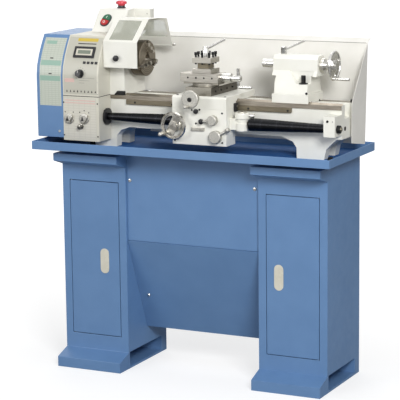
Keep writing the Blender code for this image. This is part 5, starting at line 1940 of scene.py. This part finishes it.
    def tool_holder(self) -> None:
        """Four-way tool post with its clamping screws, and the lever that locks it."""
        post = extent("tool_post")
        item = softened_copy("tool_post", 0.0010, 2)
        # The band between the plates takes darker steel: partly the body's own darker steel, partly painted
        # shade of the recess between the plates.
        two_tone(
            item, TOP_STEEL, RACK_AND_SHADED_CORE_STEEL, lambda face: post.z0 + 0.017 < face.center.z < post.z1 - 0.018,
        )
        fix(item, None, "tool_post", Slot.STEEL, "tool_post")
        pieces = []
        for number, (x, y) in enumerate(
            (
                (post.x0 + 0.010, post.y0 + 0.010), (post.x, post.y0 + 0.0075), (
                    post.x1 - 0.010, post.y0 + 0.010,
                ),
                (post.x0 + 0.010, post.y1 - 0.010), (post.x, post.y1 - 0.0075), (
                    post.x1 - 0.010, post.y1 - 0.010,
                ),
                (post.x0 + 0.0075, post.y), (post.x1 - 0.0075, post.y),
            )
        ):
            pieces.append(
                turned_part(
                    f"tool_screw_shank_{number}", [(-0.0235, 0.0036), (0.010, 0.0036)],
                    Vector((x, y, post.z1)), UP, 20,
                )
            )
            pieces.append(
                slab(
                    f"tool_screw_head_{number}", (x - 0.0042, y - 0.0042, post.z1 + 0.008),
                    (x + 0.0042, y + 0.0042, post.z1 + 0.018), 0.0009,
                )
            )
        fix(joined("tool_screws", pieces), DARK_STEEL, "tool_post", Slot.STEEL)
        stand_in("tool_post_lever", BRIGHT, "tool_post_lever", Slot.BRIGHT, 0.0005, 2, LEVER_CORNER)


@dataclass
class Tailstock:
    """Base, body, quill and the things that turn on them."""

    def build(self) -> None:
        """Makes every piece."""
        stand_in("tailstock_base", WHITE, "tailstock", Slot.WHITE, 0.0014, 2)
        stand_in("tailstock_body", WHITE, "tailstock", Slot.WHITE, 0.0024, 3)
        stand_in("quill", BRIGHT, "quill", Slot.BRIGHT, 0.0006, 2)
        stand_in("quill_lock_lever", BRIGHT, "quill_lock_lever", Slot.BRIGHT, 0.0005, 2, LEVER_CORNER)
        stand_in("tailstock_clamp_bolt", DARK_STEEL, "tailstock_clamp_bolt", Slot.STEEL, 0.0005, 2)
        stand_in("tailstock_handwheel", BRIGHT, "tailstock_handwheel", Slot.BRIGHT, 0.0005, 2, WHEEL_CORNER)
        body, base = extent("tailstock_body"), extent("tailstock_base")
        spots = [Vector((0.4205, body.y0, 1.0135))]
        screws("tailstock_offset_screw", spots, FRONT, 0.0042, 0.0015, Head.SOCKET, DARK_STEEL, "tailstock")
        collar = turned_part(
            "tailstock_dial",
            [(0.0, 0.0240), (0.0010, 0.0246), (0.0110, 0.0246), (0.0120, 0.0240)],
            Vector((body.x1 + 0.0010, SPINDLE_Y, SPINDLE_Z)), RIGHT, 56, 0.0002,
        )
        fix(collar, DIAL_STEEL, "tailstock_handwheel", Slot.STEEL)
        spots = [Vector((base.x1, y, base.z0 + 0.030)) for y in (base.y0 + 0.030, base.y1 - 0.030)]
        screws("tailstock_base_screws", spots, RIGHT, 0.0040, 0.0015, Head.SOCKET, DARK_STEEL, "tailstock")


# ---------------------------------------------------------------- stage
@dataclass
class Studio:
    """Pale floor, soft light from the front and above, and the camera at the object's three-quarter view."""

    eye: Vector = field(default_factory=lambda: Vector((2.7643, -5.6361, 1.7976)))
    yaw: float = 0.456
    pitch: float = 0.186
    roll: float = -0.012
    lens_mm: float = 165.06

    def build(self) -> None:
        """Makes floor, lights, world and camera."""
        self.floor()
        self.world()
        self.lamp("key_light", (3.3, -3.9, 3.2), 1.7, 235.0)
        self.lamp("fill_light", (-2.2, -4.2, 2.2), 2.2, 60.0)
        self.lamp("top_light", (0.0, -0.2, 3.8), 1.6, 24.0)
        self.lamp("back_light", (-1.6, 3.4, 3.6), 2.6, 45.0)
        self.camera()
        bpy.context.scene.view_settings.view_transform = "Standard"

    def floor(self) -> None:
        """A floor that reads as plain white and still takes the shadow."""
        start_clean()
        bpy.ops.mesh.primitive_plane_add(size=60.0, location=(0.0, 0.0, 0.0))
        plane = bpy.context.object
        plane.name = plane.data.name = "studio_floor"
        bpy.ops.object.transform_apply(location=True, rotation=True, scale=True)
        material, tree, shader = new_material(
            "matt_pale_floor", Base_Color=linear("#a8a8a8"), Roughness=0.95,
        )
        path = add_node(tree, "ShaderNodeLightPath")
        spot = add_node(tree, "ShaderNodeTexCoord")
        away = add_node(tree, "ShaderNodeVectorMath", {"operation": "LENGTH"}, {0: spot.outputs["Object"]})
        rise = add_node(
            tree, "ShaderNodeMapRange", {"From Min": 0.6, "From Max": 3.2, "To Min": 0.66, "To Max": 1.0},
            {"Value": away.outputs["Value"]},
        )
        lift = add_node(
            tree, "ShaderNodeMath", {"operation": "MULTIPLY"}, {
                0: path.outputs["Is Camera Ray"], 1: rise.outputs["Result"],
            }
        )
        shader.inputs["Emission Color"].default_value = linear("#ffffff")
        tree.links.new(lift.outputs["Value"], shader.inputs["Emission Strength"])
        plane.data.materials.append(material)

    def world(self) -> None:
        """A white surround: full white to the camera and in reflections, softer as a light."""
        world = bpy.data.worlds.new("studio")
        bpy.context.scene.world = world
        world.use_nodes = True
        tree = world.node_tree
        back = tree.nodes["Background"]
        back.inputs["Color"].default_value = linear("#ffffff")
        path = add_node(tree, "ShaderNodeLightPath")
        seen = add_node(
            tree, "ShaderNodeMath", {"operation": "MAXIMUM"},
            {0: path.outputs["Is Camera Ray"], 1: path.outputs["Is Transmission Ray"]},
        )
        both = add_node(
            tree, "ShaderNodeMath", {"operation": "MAXIMUM"}, {
                0: seen.outputs["Value"], 1: path.outputs["Is Glossy Ray"],
            }
        )
        level = add_node(
            tree, "ShaderNodeMapRange", {"From Min": 0.0, "From Max": 1.0, "To Min": 0.16, "To Max": 1.0},
            {"Value": both.outputs["Value"]},
        )
        tree.links.new(level.outputs["Result"], back.inputs["Strength"])

    def lamp(self, name: str, at: tuple[float, float, float], size: float, watts: float) -> None:
        """Adds a soft square light that looks at the machine."""
        start_clean()
        bpy.ops.object.light_add(type="AREA", location=at)
        lamp = bpy.context.object
        lamp.name = lamp.data.name = name
        lamp.data.shape = "SQUARE"
        lamp.data.size = size
        lamp.data.energy = watts
        aim = Vector((0.0, 0.0, 0.75)) - Vector(at)
        lamp.rotation_euler = aim.to_track_quat("-Z", "Y").to_euler()

    def camera(self) -> None:
        """Puts the camera in front, to the right and a little above."""
        ahead = Vector(
            (
                -math.sin(self.yaw) * math.cos(self.pitch), math.cos(self.yaw) * math.cos(self.pitch),
                -math.sin(self.pitch),
            )
        )
        right = Vector((math.cos(self.yaw), math.sin(self.yaw), 0.0))
        up = right.cross(ahead)
        side = math.cos(self.roll) * right + math.sin(self.roll) * up
        crown = -math.sin(self.roll) * right + math.cos(self.roll) * up
        data = bpy.data.cameras.new("camera")
        data.lens = self.lens_mm
        data.sensor_width = 36.0
        data.dof.use_dof = False
        item = bpy.data.objects.new("camera", data)
        bpy.context.scene.collection.objects.link(item)
        item.matrix_world = Matrix.Translation(self.eye) @ Matrix((side, crown, -ahead)).transposed().to_4x4()
        bpy.context.scene.camera = item


def main() -> None:
    """Builds the whole machine."""
    logging.basicConfig(level=logging.INFO, format="%(name)s: %(message)s")
    parts = (
        CabinetStand(), Bed(), EndCover(), ControlPanel(), Headstock(), Drive(), Chuck(), ChuckGuard(),
        SplashGuard(), FeedScrew(), Carriage(), Tailstock(), Studio(),
    )
    for part in parts:
        part.build()
        log.info("%s done", type(part).__name__)


if __name__ == "__main__":
    main()
